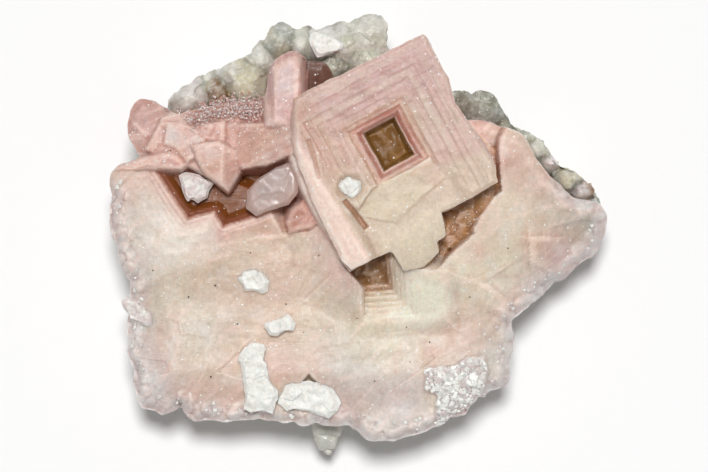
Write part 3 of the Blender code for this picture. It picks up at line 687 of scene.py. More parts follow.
def makeMainHopper():
    # pale bands and a red rim round the pit, then the walls are roughened and the crystal leaned
    points, faces, local = plate(mainHopper, mainTop)
    middle = mainHopper["centre"]
    x, y = turned(points[:, 0] - middle[0], points[:, 1] - middle[1], mainHopper["turn"])
    wall, inTop = local["wall"], local["top"]
    outwards = holeInset(x, y)
    flat = flatPoints(x, y)
    colour = paint(points, "mauve", (
        (9, 5, 12, "cream", 0.95), (14, -3, 6, "ivory", 0.8), (-1, 8, 9, "cream", 0.9),
        (14, 25, 6, "cream", 0.6), (20, 12, 7, "blush", 0.7), (-3, 20, 6, "blush", 0.6),
        (22, 21, 5, "blush", 0.5)), 1)
    # growth bands of paler and pinker salt run round the pit
    band = softNoise(flatPoints(outwards / 1.5, outwards * 0.0), 1, 22, 2)
    colour = layered(colour, (
        ("cream", 0.35 * ramp(band, 0, 0.6) * inTop * ramp(outwards, 1.5, 3)),
        ("rose", 0.15 * ramp(band, 0, -0.6) * inTop * ramp(outwards, 1.5, 3) * ramp(y, -6, 2)),
        ("apricot", 0.4 * ramp(x, -8, -13) * ramp(x, -18, -15.5) * inTop),
        ("apricot", 0.5 * np.exp(-(((outwards - 2.6) / 1.4) ** 2)) * inTop)))
    blush = np.exp(-(((outwards - 1.1) / 1.25) ** 2)) * inTop * ramp(y, -8.5, -4)
    streak = softNoise(flatPoints(x, y), 1.6, 23, 3)
    blush = blush * (0.9 + 0.4 * streak) * (0.8 + 0.2 * ramp(x + y, -2, 4))
    colour = blendColour(colour, "coral", blush)
    inHole = ramp(outwards, 0.25, -0.15) * inTop
    colour = layered(colour, (
        ("olive", inHole),
        ("tan", 0.5 * ramp(softNoise(flat, 2.6, 26, 3), 0, 0.5) * inHole)))
    onSlab = ramp(insetPolygon(x, y, mainHopper["slab"]), -0.2, 0.4) * inTop
    colour = layered(colour, (
        ("cream", 0.7 * ramp(y + 0.15 * x, -6.5, -9.5) * ramp(x, -17, -14) * inTop),
        ("ivory", 0.6 * ramp(y, -14, -20) * ramp(x, -14, -11) * ramp(x, 8, 3) * inTop),
        ("butter", 0.5 * onSlab),
        ("blush", 0.5 * onSlab * ramp(x, 0, 7))))
    slot = slotDepth(x, y, mainHopper["slot"]) / mainHopper["slot"]["drop"] * inTop
    colour = layered(colour, (
        ("apricot", 0.9 * slot),
        ("amber", 0.35 * slot * ramp(y, -2, -8)),
        ("apricot", 0.5 * slotDepth(x, y, mainHopper["groove"]) * inTop)))
    # the left flank is painted petal, partly its own pale pink and partly painted light against its
    # shading; the upper part of the left walls is painted petal as painted light against their shade
    flank = ramp(x + 0.05 * y, -16, -18) * inTop
    creviceSide = ramp(points[:, 0], 10, 13) * ramp(points[:, 1], 14, 12)
    colour = layered(colour, (
        ("tan", 0.8 * ramp(wall, 0.02, 0.1) * creviceSide),
        ("petal", 0.9 * flank),
        ("petal", 0.8 * ramp(wall, 0.15, 0.02) * (1.0 - inTop) * ramp(points[:, 0], 0, -2)),
        ("cream", 0.3 * ramp(softNoise(flat, 2, 24, 3), 0.1, 0.6) * inTop * (1.0 - inHole))))
    # painted highlight on raised edges and painted shade in creases, left out of the hole
    paintedEdgeAndCrease = paintEdgeLightAndCreaseShade(colour, local, "white", "rose", 0.22, 0.12)
    colour = colour + (paintedEdgeAndCrease - colour) * (1.0 - inHole)[:, None]
    toned = (ramp(outwards, 1.8, 4) * (1.0 - flank) * inTop)[:, None]
    colour = colour * (1.0 - toned * (1.0 - np.array(mainHopper["tone"])))
    points = roughen(points, ((4, 0.16, 31), (1.1, 0.07, 32)), mainHopper["foot"])
    points = craggy(points, wall, ((7, 0.9, 33), (2, 0.35, 34)), mainHopper["foot"])
    points = leaned(points, (*middle, mainHopper["top"]), mainHopper["lean"], mainHopper["towards"])
    piece = makePiece("mainHopper", points, faces, mainSalt, colour)
    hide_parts("pink_hopper_cluster")


def ledge(x, y, start, end, rise, fade, blur=0.5):
    # ground that steps up on the left of a line and sinks back behind it, fading out beyond both ends
    dx, dy = end[0] - start[0], end[1] - start[1]
    length = np.hypot(dx, dy)
    along = ((x - start[0]) * dx + (y - start[1]) * dy) / length
    side = ((y - start[1]) * dx - (x - start[0]) * dy) / length
    ends = ramp(along, -3, 1.5) * ramp(along, length + 3.0, length - 1.5)
    return rise * ramp(side, -blur, blur) * np.exp(-np.maximum(side, 0) / fade) * ends


def roof(x, y, centre, faces):
    # the lowest of several sloping faces, each a height over the centre and its rise along X and Y
    heights = [height + riseX * (x - centre[0]) + riseY * (y - centre[1]) for height, riseX, riseY in faces]
    return np.min(heights, axis=0)


# The cluster round the largest hopper is one body under one height field.
pinkBody = {
    "centre": (-12, -9), "turn": 0, "half": (56, 45), "foot": 9.35, "cell": 0.37, "rows": 18,
    "spread": -2.4, "ragged": 0.3, "soften": 0.8, "flare": -0.5, "tone": (0.94, 0.92, 0.94),
    # painted pools of light: colour, middle, reach and share
    "paintedLightPools": (("snow", 14, -15.5, 6, 0.5), ("ivory", 14, -14.5, 6, 0.8)),
    "outline": (
        (-54.6, 14.9), (-55.7, 13.2), (-55.8, 11.4), (-55.4, 9.6), (-55.1, 8.6), (-55.7, 7), (-55.8, 4.5),
        (-55.7, 1.8), (-55.4, -0.2), (-54.6, -1), (-54.2, -4), (-53.6, -6.6), (-52.4, -9), (-51, -10.4),
        (-51.4, -13.2), (-51.6, -16), (-52, -19), (-52.2, -22), (-52.4, -26), (-51.4, -28.6),
        (-50.2, -31), (-50.8, -33), (-50, -35.4), (-49.8, -37.4), (-48.4, -39.4), (-47.2, -39.4),
        (-45.8, -39.6), (-44.2, -40.8), (-42.2, -40.4), (-41, -39.4), (-40.4, -38.6), (-39.4, -39.2),
        (-38.2, -41), (-36.8, -42.2), (-34, -41.8), (-30, -42.6), (-26, -41.9), (-22, -41.6),
        (-17, -42.6), (-14.4, -42.3), (-12.6, -43.4), (-10.6, -43), (-9.4, -42.2), (-8, -43),
        (-4.4, -43.4), (-2, -42.8), (-0.6, -43.4), (0.8, -45), (2.4, -46.6), (8.6, -46.8),
        (11, -45.8), (15.4, -44.8), (17, -43.6), (19, -43.4), (20.6, -41.6), (21.4, -40.8), (24.4, -41),
        (25.4, -39), (27.2, -37.6), (27.6, -36.2), (28.8, -36.6), (30.4, -35.4), (33, -34.4), (34.6, -32.4),
        (34.8, -28.6), (35.3, -25.4), (35.2, -22), (34.8, -19.2), (37.6, -17), (40.6, -14.6), (42.4, -12.2),
        (43.2, -10.8), (47.4, -9.8), (49.2, -7.8), (51.6, -5.6), (54, -4.6), (54.9, -2.4), (56.4, 0.6),
        (56.8, 3), (56.4, 5), (55, 7), (52, 8), (49.2, 8), (46.4, 11), (43.4, 13.4), (41.6, 16),
        (39.4, 19.4), (38.2, 21.4), (36.6, 23.2), (34.4, 23.8), (32, 24.6), (29.6, 25.6), (26, 25.8),
        (20, 27), (8, 30), (-2, 31.6), (-5, 35), (-5.8, 37.4), (-7.2, 39), (-12.2, 39.6),
        (-13.4, 41), (-15.6, 41), (-18, 39.8), (-19.8, 37.4), (-20.4, 33), (-20.8, 30.4), (-24, 30.6),
        (-28.4, 29.8), (-31, 29.6), (-34, 28.6), (-37.6, 28), (-40.2, 27), (-42.6, 28.2),
        (-45, 29.8), (-47.4, 30.8), (-49, 31), (-50.4, 29.4), (-51.4, 27.2), (-51.8, 24.6), (-51.4, 21.6),
        (-50.4, 19.8), (-48.8, 17.6), (-51, 16.4)),
}

smallHopper = {
    "centre": (5.9, -11.5), "turn": 4, "top": 30.8,
    "steps": (
        (((-9.5, 7.5, -7.2, 12),), 0.2, 0.4),
        (((-9.2, 6.6, -6.3, 12),), 0.3, 0.4),
        (((-8.9, 4.9, -4.9, 12),), 0.7, 0.4),
        (((-8.6, 4.1, -3.7, 12),), 0.7, 0.4),
        (((-8.3, 3.2, -2.4, 12),), 1, 0.5),
        (((-8, 2.2, -1.2, 12),), 1.2, 0.5),
        (((-7.7, 1.3, 0.2, 12),), 2.2, 0.7),
    ),
}

lowerMass = {
    "base": 29.4,
    # the ground rises towards this outline, by so much and from so far out
    "mound": ((-14.5, 24), (-1.5, -8), (5, -5), (12, -7), (19, -3), (31.4, 12), (15.5, 42)),
    "moundRise": 8, "moundReach": 11.5,
    "outline": ((-60, -6), (-60, -52), (42, -54), (40, -20), (30, -11), (20, -7.6), (14.6, -7.4),
        (10.4, -6), (6, 0), (-3, 3), (-8, 4), (-11, 1), (-16.6, 1), (-30, -1.6), (-44, -4)),
    # soft ledges: from, to, rise of the ground on the left of that line, and how far back it reaches
    "ledges": (
        ((-19.7, -13.6), (-3.8, -14.4), 0.3, 7), ((-13, -24.3), (-25, -23), -0.5, 6),
        ((-36, -10.6), (-12.9, -4), -0.4, 5), ((-30, -14), (-36, -30), 0.35, 8),
        ((-26, -36), (-20, -22), 0.3, 6), ((-40, -18), (-43, -34), 0.35, 5),
        ((15.2, -29.6), (15.4, -43), -0.9, 6), ((15.4, -22.6), (15.2, -29.4), -0.4, 6),
        ((21, -25), (21.2, -17.8), -0.7, 4), ((0, -28), (12, -26), 0.3, 9),
        ((-6, -30), (2, -40), 0.4, 8),
    ),
    # narrow openings: corners and depth
    "openings": ((((-12.9, -33.6), (-11, -31.4), (-10.3, -32.2), (-8.4, -33.8), (-10.6, -34.6)), 3),
        (((-40.7, -40.5), (-39.9, -37), (-39.6, -40.5)), 2.5)),
}


def groundHeight(x, y):
    # the lower mass without its pit and its rim; the pieces round it run down to this
    flat = flatPoints(x, y)
    height = lowerMass["base"] + 0.8 * softNoise(flat, 18, 71, 2) + 0.2 * softNoise(flat, 5, 72, 3)
    height += shardRelief(x, y, 8, 12, 2, 73, 0.12, 0.03, 0)
    for start, end, rise, fade in lowerMass["ledges"]:
        height += ledge(x, y, start, end, 0.7 * rise, fade, 1.3)
    # the ground round the small hopper stands a little higher and carries upright lines
    u, v = turned(x - smallHopper["centre"][0], y - smallHopper["centre"][1], smallHopper["turn"])
    bank = ramp(np.maximum(np.abs(u - 4.0) - 9.0, np.abs(v + 1.0) - 7.0), 4, 0)
    banked = smallHopper["top"] + 0.1 * growthLines(u, v, 0.6, 61) * ramp(u, 4, 8)
    height = mixed(height, banked, bank)
    away = -insetOutline(x, y, lowerMass["mound"])
    height += lowerMass["moundRise"] * np.clip(1.0 - away / lowerMass["moundReach"], 0, 1) ** 1.5
    # it also rises towards the hopper on the left and the lobe on the right
    height += 2.2 * ramp(y, -16, -4) * ramp(x, -8, -14)
    return height + 2.5 * ramp(x - y, 18, 34) * ramp(y, -22, -10)


def lowerSurface(x, y, flat):
    # the ground less the small pit and the openings, falling away outside its outline
    u, v = turned(x - smallHopper["centre"][0], y - smallHopper["centre"][1], smallHopper["turn"])
    # a straight wall cuts the lower left corner of the small hopper off
    cut = np.maximum(0.757 * (x + 2.0) + 0.654 * (y + 8.3), np.minimum(x - 1.2, -12.0 - y))
    depth = steppedPit(u, v, smallHopper["steps"], 0.2) * ramp(cut, -0.1, 0.5)
    height = groundHeight(x, y) - depth
    height += ramp(depth, 4, 5.4) * shardRelief(x, y, 1.8, 40, 1.3, 63, 1, 0.3, 0)
    for corners, drop in lowerMass["openings"]:
        depth = np.maximum(depth, drop * ramp(insetOutline(x, y, corners), -0.1, 0.5))
        height -= drop * ramp(insetOutline(x, y, corners), -0.1, 0.5)
    height -= 3.0 * np.maximum(0.4 - insetOutline(x, y, lowerMass["outline"]), 0)
    height = height - 2.4 * ramp(y, -30, -40) - 2.4 * ramp(x, -42, -50)
    height -= 3.0 * ramp(x - 0.5 * y, 36, 50)
    colour = paint(flat, "cream", (
        (-48, -20, 6, "mist", 0.8), (-50, -28, 6, "lilac", 0.7), (-45, -35, 7, "lilac", 0.8),
        (-44, -24, 5, "blush", 0.5), (-34, -22, 6, "mist", 0.4), (-36, -36, 6, "pink", 0.45),
        (-28, -37, 7, "blush", 0.7), (-17, -30, 6, "pink", 0.6), (-8, -29, 5, "blush", 0.6),
        (-30, -9, 5, "apricot", 0.3), (-18, -5, 5, "apricot", 0.25), (-48, -8, 4, "apricot", 0.2),
        (-24, -13, 8, "blush", 0.4), (-14, -10, 8, "petal", 0.3), (-20, -18, 8, "apricot", 0.12),
        (-30, -27, 4, "apricot", 0.3), (-50, -13, 2.6, "white", 0.8), (-50, -24, 3, "white", 0.6),
        (-47, -33, 3.6, "white", 0.7), (-46, -38, 2.6, "white", 0.6), (-33, -40, 3, "lilac", 0.8),
        (-24, -41, 3, "white", 0.5), (0, -25, 8, "mist", 0.5), (-2, -33, 7, "mist", 0.7),
        (8, -38, 7, "lilac", 0.7), (11, -35, 5, "lilac", 0.5), (9, -38, 5, "white", 0.4),
        (-5, -41, 7, "mauve", 0.7), (5, -44, 5, "mist", 0.8), (17, -24, 6, "blush", 0.5),
        (23, -21.5, 4, "rose", 0.5), (27, -24, 6, "blush", 0.7), (31, -28, 5, "mist", 0.8),
        (25, -34, 7, "mist", 0.7), (22.4, -18, 1.3, "amber", 0.4), (14, -14, 8, "ivory", 0.9),
        (4, -20, 6, "butter", 0.8), (6, -24, 7, "ivory", 0.4), (-3, -8, 4, "blush", 0.8),
        (17, -26.5, 2.4, "rose", 0.4)), 5)
    # painted light: the ground is painted paler near the mound, petal on the left and ivory on the right,
    # against the shading of its rising slopes
    near = ramp(-insetOutline(x, y, lowerMass["mound"]), 9, 1)
    colour = layered(colour, (
        ("petal", 0.8 * near * ramp(x, 2, -4)),
        ("ivory", 0.6 * near * ramp(x, 4, 9)),
        ("lime", 0.5 * ramp(depth, 0.6, 2)),
        ("tan", 0.7 * ramp(depth, 2.2, 4)),
        ("amber", 0.6 * ramp(depth, 3, 4.4)),
        ("olive", 0.6 * ramp(depth, 4, 5.2))))
    fleck = ramp(depth, 2, 4) * ramp(softNoise(flat, 1.2, 64, 3), 0.1, 0.5)
    colour = blendColour(colour, "butter", 0.3 * fleck)
    wallLine = np.exp(-(((cut + 0.5) / 0.7) ** 2)) * ramp(y, -13, -11) * ramp(y, -5, -8)
    colour = blendColour(colour, "pink", 0.8 * wallLine)
    return height, colour


leftHopper = {
    "centre": (-34.5, 4.5), "turn": 19, "top": 33.2,
    "outline": ((-60, 17), (-60, -16), (-14, -14), (-12.4, -3), (-16.4, 0.4), (-19, 5.2), (-22, 10),
        (-38, 16), (-45, 17)),
    "rim": ((-46.4, 15.4), (-38.3, 3.3), (-32.4, 5), (-30.5, 1.4), (-20.3, 4.9), (-15, 8), (-16, 18),
        (-40, 18)),
    # how far inside the rim each step starts, its drop and its run
    "steps": ((-3.4, 0.15, 0.4), (-2.3, 0.2, 0.4), (-1.2, 0.25, 0.4), (-0.2, 0.8, 0.5), (0.6, 1, 0.5),
        (1.4, 1.2, 0.6), (2.1, 1.6, 0.7)),
}


def leftSurface(x, y, flat):
    # a low dome less the steps of the left pit, running down into the lower mass
    u, v = turned(x - leftHopper["centre"][0], y - leftHopper["centre"][1], leftHopper["turn"])
    inset = insetOutline(x, y, leftHopper["rim"]) + 0.18 * softNoise(flat, 4, 58, 4)
    depth = sum(drop * np.clip((inset - start) / run, 0, 1) for start, drop, run in leftHopper["steps"])
    height = leftHopper["top"] - depth + 0.3 * softNoise(flat, 12, 52, 3)
    height += 0.07 * growthLines(inset, x - y, 0.8, 51) * ramp(inset, -9, -1)
    height = height - 1.6 * ramp(-u, 12, 24) - 1.4 * ramp(x + 0.3 * y, -50, -57)
    joined = ramp(-v, 1, 11)
    height = mixed(height, groundHeight(x, y) - 0.1, joined) - 3.0 * ramp(-v, 10, 14.5)
    height -= 2.5 * np.maximum(0.3 - insetOutline(x, y, leftHopper["outline"]), 0)
    colour = paint(flat, "cream", (
        (-52, 10, 6, "pink", 0.55), (-44, 15, 6, "rose", 0.4), (-56, 8, 4, "rose", 0.35),
        (-46, 4, 8, "mist", 0.4), (-50, -7, 6, "lilac", 0.6), (-55, -1, 4, "mist", 0.6),
        (-36, -4, 8, "ivory", 0.8), (-36, -4, 8, "snow", 0.6), (-34, -3, 6, "petal", 0.3),
        (-30, -1, 5, "blush", 0.7), (-20, -1, 6, "pink", 0.4), (-22, 2, 4, "apricot", 0.5),
        (-26, -5, 6, "apricot", 0.4), (-36, -10.6, 4, "apricot", 0.3)), 3)
    streak = softNoise(flat, 1.4, 54, 3)
    nearRim = np.exp(-((np.minimum(inset, 0) / 2.2) ** 2))
    colour = blendColour(colour, "pink", (0.7 + 0.5 * streak) * nearRim)
    inPit = ramp(inset, -0.3, 0.6)
    colour = layered(colour, (
        ("rose", inPit * (0.9 + 0.3 * streak)),
        ("rust", 0.95 * ramp(inset, 0.1, 0.8)),
        ("umber", 0.95 * ramp(inset, 1.3, 2.2))))
    return height, colour


rightLobe = {
    "top": 34.6,
    "outline": ((31.6, 21.8), (31.8, 17), (32.4, 10), (30.8, 8.8), (28.8, 6), (27.3, 3.8), (26, 2),
        (25.7, 0.2), (20.5, -4.8), (18.4, -7.4), (14, -9), (14, -24), (50, -24), (64, 0), (58, 12),
        (36, 28)),
    "ledges": (((46, -0.6), (38.6, -0.2), 0.7, 6), ((38.6, -0.2), (39.2, -6.4), 0.9, 4), ((39.2, -6.4),
        (44, -8.6), 0.8, 4), ((50, 3.2), (56, 3.4), 0.5, 5), ((44, 1.8), (50, 3.2), 0.5, 5), ((30, -9.6),
        (36, -5.6), 0.35, 4)),
}


def lobeSurface(x, y, flat):
    # a plane that falls away from its upper left end with the 1.25th power of the distance
    away = (x - 32.3) * 0.844 - (y - 17.0) * 0.535
    height = rightLobe["top"] - 11.0 * np.clip(away / 29.0, 0, 1) ** 1.25
    height += 0.35 * softNoise(flat, 9, 91, 3)
    for start, end, rise, fade in rightLobe["ledges"]:
        height += ledge(x, y, start, end, rise, fade, 0.3)
    # its lower side runs down into the lower mass
    side = ((y + 6.0) * 24.0 + (x - 14.0) * 12.0) / 26.8
    joined = ramp(-side, -6, 2)
    height = mixed(height, groundHeight(x, y) - 0.1, joined) - 3.0 * ramp(-side, 1.5, 5.5)
    inset = insetOutline(x, y, rightLobe["outline"]) + 0.15 * softNoise(flat, 2, 94, 3)
    height -= 8.0 * np.maximum(0.2 - inset, 0)
    colour = paint(flat, "cream", (
        (34.5, 18, 5, "pink", 0.6), (32.6, 16, 2, "coral", 0.5), (37, 12, 6, "blush", 0.7),
        (30, 3, 7, "blush", 0.35), (44, 12, 5, "blush", 0.6), (50, 4, 7, "sage", 0.6),
        (55, 1, 6, "slate", 0.65), (47, -4, 6, "dusk", 0.6), (44, -5, 4, "mauve", 0.6),
        (40.6, -3, 2.4, "apricot", 0.4), (38, -10, 6, "mist", 0.5), (40, -12.5, 4, "lilac", 0.8),
        (24, -8, 7, "ivory", 0.7), (34, 6, 6, "ivory", 0.5), (33, -18, 3, "lilac", 0.6),
        (22, -13, 5, "butter", 0.5), (33, -5, 5, "butter", 0.5), (27, -4, 3, "blush", 0.5)), 6)
    colour = blendColour(colour, "coral", 0.6 * ramp(inset, 1, 0.1) * ramp(y, 12, 15))
    return height, blendColour(colour, "amber", 0.8 * ramp(inset, 0.2, -0.3) * ramp(x, 40, 36))


coreGround = {
    "low": 13.5,
    # floors of the gaps: corners, height, rise along X and Y, colour
    "floors": (
        (((12, -9), (12, 6), (28, 16), (31, 11), (27, 2), (20, -7)), 31, 0.1, 0.3, "tan"),
        (((22, 6), (26, 2), (30.2, 7), (31.2, 10), (30, 12)), 33, 0.1, 0.2, "tan"),
        (((22, 24), (26, 20), (30.6, 11), (31.6, 19), (28, 23)), 30, 0.1, 0.1, "apricot"),
        (((-13.4, 28), (-13.4, 40), (-7, 40.4), (-4, 36.4), (-2, 30), (-8, 26)), 28, 0, 0.25, "wine"),
        (((-26, 14), (-14, 16), (-11, 4), (-15, -1), (-20, 2)), 24, 0.1, 0.1, "umber"),
    ),
}


def coreSurface(x, y, flat):
    # a low bed, with a sloping floor laid in each gap between the crystals
    height = coreGround["low"] + 1.2 * softNoise(flat, 5, 101, 3)
    colour = paint(flat, "umber", (), 7)
    for number, (corners, level, riseX, riseY, name) in enumerate(coreGround["floors"]):
        middleX = sum(corner[0] for corner in corners) / len(corners)
        middleY = sum(corner[1] for corner in corners) / len(corners)
        own = level + riseX * (x - middleX) + riseY * (y - middleY)
        own -= 3.0 * np.maximum(0.3 - insetOutline(x, y, corners), 0)
        if number == 0:
            own += shardRelief(x, y, 2.6, 30, 1.4, 102, 1.6, 0.3, 0)
        height, share = softHigher(height, own, 0.5)
        colour = mixed(colour, linear(name), share[:, None])
    sparks = softNoise(flat, 1.6, 104, 3)
    colour = layered(colour, (
        ("apricot", 0.6 * ramp(sparks, 0.1, 0.5) * ramp(x, 16, 19)),
        ("amber", 0.5 * ramp(sparks, -0.1, -0.5) * ramp(x, 16, 19))))
    return height, colour


# crystals grown into the cluster: corners, sloping faces (height over the middle of the corners and
# rise along
# X and Y), colour with soft patches; steep is the slope of the sides, soft the width of the filled crease
crystals = {
    "upperBed": {
        "outline": ((-48, 19), (-44, 26.4), (-38, 29), (-28, 31.6), (-20, 32.4), (-13, 32), (-11.6, 20),
            (-15, 17.2), (-21, 15.2), (-27, 14.6), (-34, 13), (-38.6, 15.4)),
        "faces": ((33.4, 0.03, 0), (33.8, 0, -0.3)), "colour": "pink",
        "patches": ((-36, 19, 4, "blush", 0.6), (-26, 24, 5, "rose", 0.4), (-24, 28, 3.4, "plum", 0.55),
            (-34, 27, 3, "rose", 0.5)), "grain": (1, 0.35)},
    "upperLeftLump": {
        "outline": ((-54, 17), (-54, 33), (-45, 32), (-41.6, 25.4), (-42, 19.4), (-46, 17.6)),
        "faces": ((31.8, 0.25, 0.1), (31, -0.12, -0.3), (32, 0.05, 0.45)), "colour": "dusk",
        "patches": ((-49, 21, 3, "pink", 0.5), (-45, 27, 3, "pink", 0.6), (-50, 28, 3, "rose", 0.3),
            (-43, 23.6, 2.4, "lilac", 0.6))},
    "greyGrain": {
        "outline": ((-51, 19.6), (-49.4, 19.8), (-47.2, 18), (-47.6, 16.4), (-50.4, 16.2)),
        "faces": ((28.6, 0.2, 0.3),), "colour": "lime", "patches": ((-48.4, 18.6, 1.2, "white", 0.8),)},
    "lilacFace": {
        "outline": ((-43.6, 20.2), (-42.8, 25.6), (-38.4, 25.4), (-33.6, 21.6), (-36.6, 17), (-38.2, 16),
            (-41, 19.4)),
        "faces": ((34.2, 0.12, -0.05), (34.6, -0.1, -0.3)), "colour": "blush", "soft": 1,
        "patches": ((-42, 22.6, 2.4, "lilac", 0.9), (-38.4, 24.4, 2, "rose", 0.6),
            (-36, 20, 2.4, "lilac", 0.6), (-39.4, 18.4, 1.6, "rose", 0.6))},
    "roseFace": {
        "outline": ((-39.6, 24.6), (-29.6, 25.8), (-29.4, 20), (-33.6, 21)),
        "faces": ((34.2, 0.06, -0.15),), "colour": "pink", "soft": 1,
        "patches": ((-32.4, 22.6, 2.6, "rose", 0.6), (-37, 23.6, 2, "rose", 0.6)),
            "lines": (70, 0.5, 0.12)},
    "upperRim": {
        "outline": ((-58, 14.4), (-57, 16.4), (-50, 16.8), (-44, 18.6), (-42, 18.9), (-40.2, 18.2),
            (-38.1, 15.6), (-39.6, 14.5), (-47, 14.4)),
        "faces": ((34.6, 0.03, -0.1), (34.9, 0.1, 0.3)), "colour": "pink", "soft": 1,
        "patches": ((-44, 16.8, 2.4, "rose", 0.5), (-52, 15.4, 3, "blush", 0.6),
            (-39.4, 16.4, 1.6, "coral", 0.5)),
        "lines": (15, 0.6, 0.2)},
    "boxCrystal": {
        "outline": ((-30.4, 19.4), (-29.8, 25.4), (-20.4, 25.6), (-10, 26.4), (-10, 18.4), (-15, 17.5),
            (-20.2, 15.2), (-25.8, 14.4), (-28.4, 16.4)),
        "faces": ((37, 0.58, -0.04), (37.6, 0.5, 0.2)), "colour": "pink", "steep": 16,
            "side": ("umber", 0.8),
        "patches": ((-20, 22, 4, "apricot", 0.4), (-26, 19, 3, "apricot", 0.35),
            (-18, 25, 2.2, "cream", 0.6), (-22, 16.4, 2, "apricot", 0.6), (-14.8, 26, 1.8, "coral", 0.55),
            (-15.6, 18.6, 1.6, "rose", 0.5)),
        "lines": (27, 0.9, 0.1)},
    "cubeCorner": {
        "outline": ((-37.8, 20.6), (-36.6, 16.6), (-34.4, 13.2), (-32, 11.6), (-29.1, 9.1), (-28.3, 9.5),
            (-25.6, 14.3), (-26.6, 19), (-31, 21.4)),
        "faces": ((36.4, 0.1, 0.04), (37.2, -0.7, 0.1)), "colour": "pink", "steep": 16,
            "side": ("umber", 0.7),
        "patches": ((-32, 15, 3, "apricot", 0.5), (-31.4, 12, 2.2, "blush", 0.8),
            (-35, 17, 2.2, "blush", 0.8), (-27, 13.6, 1.3, "rose", 0.7), (-30.4, 19.4, 2, "blush", 0.7))},
    "finger": {
        "outline": ((-20.9, 24), (-21, 31), (-20.2, 37.6), (-18.2, 40.8), (-15.4, 42), (-12.7, 40.8),
            (-12.3, 35), (-12.6, 30), (-12, 24.4)),
        "faces": ((39.4, 0.02, -0.06), (42.2, -0.9, -0.02), (41.4, 0.9, -0.06)), "colour": "mauve",
        "patches": ((-16.4, 35, 3, "lilac", 0.6), (-12.9, 35, 1, "coral", 0.8),
            (-12.9, 38, 1, "coral", 0.8), (-13, 31.6, 1, "coral", 0.7), (-16, 41.2, 1.2, "plum", 0.9),
            (-13.4, 40.4, 1, "plum", 0.9), (-18.6, 40, 1.2, "plum", 0.9), (-20.2, 36, 1.4, "plum", 0.5),
            (-20.4, 32, 1.6, "plum", 0.4), (-20.4, 28, 1.6, "rose", 0.6), (-15, 27, 1.6, "coral", 0.5))},
    "pinkTriangle": {
        "outline": ((-12.2, 8.3), (-15.2, 5.6), (-16.2, 3), (-15.4, 0.2), (-10.4, 1.4), (-7.8, 3.2),
            (-9, 6)),
        "faces": ((35.6, 0.45, 0.1), (36.4, 0.2, -0.3)), "colour": "rose",
        "patches": ((-11, 3.4, 2.4, "pink", 0.5), (-15.4, 2, 1.4, "coral", 0.6))},
    "flankFoot": {
        "outline": ((-15.6, 18.6), (-14.6, 15.5), (-12.2, 9.2), (-9.2, 3.6), (-5.8, -1), (-3, 2),
            (-8, 18.6)),
        "faces": ((40, 0.2, 0.1),), "colour": "petal", "side": ("rose", 0.3)},
    "eastWedge": {
        "outline": ((24, 27), (30, 27.6), (36, 25), (34, 22.6), (31.6, 19.8), (29.6, 20), (26.2, 22.8)),
        "faces": ((30.6, 0.03, 0.1), (31, -0.1, -0.3)), "colour": "pink",
        "patches": ((31, 22, 3, "cream", 0.7), (27, 24.6, 2, "blush", 0.6), (29, 20.8, 1.6, "rose", 0.5))},
    "druse": {
        "outline": ((15.4, -29.8), (22, -29.8), (25, -27.2), (28.6, -27.4), (29.6, -31), (28.6, -35),
            (27, -44), (17, -44), (18.2, -36), (15.2, -35)),
        "faces": ((29.8, 0, 0.12), (30.8, -0.1, 0.5)), "colour": "snow",
            "patches": ((32, -31, 4, "mist", 0.5),),
        "grain": (1.5, 0.7), "soft": 0.8},
    "footStrip": {
        "outline": ((-2, -41.4), (-2, -50), (22, -50), (16, -44.6), (9, -42)),
        "faces": ((22.6, 0.1, 0.4),), "colour": "mist", "patches": ((9, -44, 4, "blush", 0.6),),
            "soft": 1.5},
}


def crystalSurface(x, y, flat, spec, seed):
    # sloping faces cut by an outline, with steep sides outside it, lines or grains on top
    middle = np.mean(np.array(spec["outline"]), axis=0)
    height = roof(x, y, middle, spec["faces"])
    if "lines" in spec:
        turn, spacing, relief = spec["lines"]
        u, v = turned(x, y, turn)
        height += relief * growthLines(v, u, spacing, seed)
    if "grain" in spec:
        size, relief = spec["grain"]
        height += relief * softNoise(flat, size, seed + 3, 3)
    inset = insetOutline(x, y, spec["outline"]) + 0.15 * softNoise(flat, 2.5, seed + 4, 3)
    over = 0.25 - inset
    height -= spec.get("steep", 6.0) * 0.5 * (over + np.sqrt(over * over + 0.04))
    sideName, sideShare = spec.get("side", ("rose", 0.4))
    colour = paint(flat, spec["colour"], spec.get("patches", ()), seed)
    u, v = turned(x, y, spec.get("lines", (25,))[0])
    streak = softNoise(flatPoints(u / 6.0, v / 0.7), 1, seed + 5, 2)
    colour = layered(colour, (
        ("petal", 0.45 * ramp(streak, 0.1, 0.6)),
        ("rose", 0.35 * ramp(-streak, 0.1, 0.6))))
    return height, blendColour(colour, sideName, sideShare * ramp(over, 0.1, 0.5))


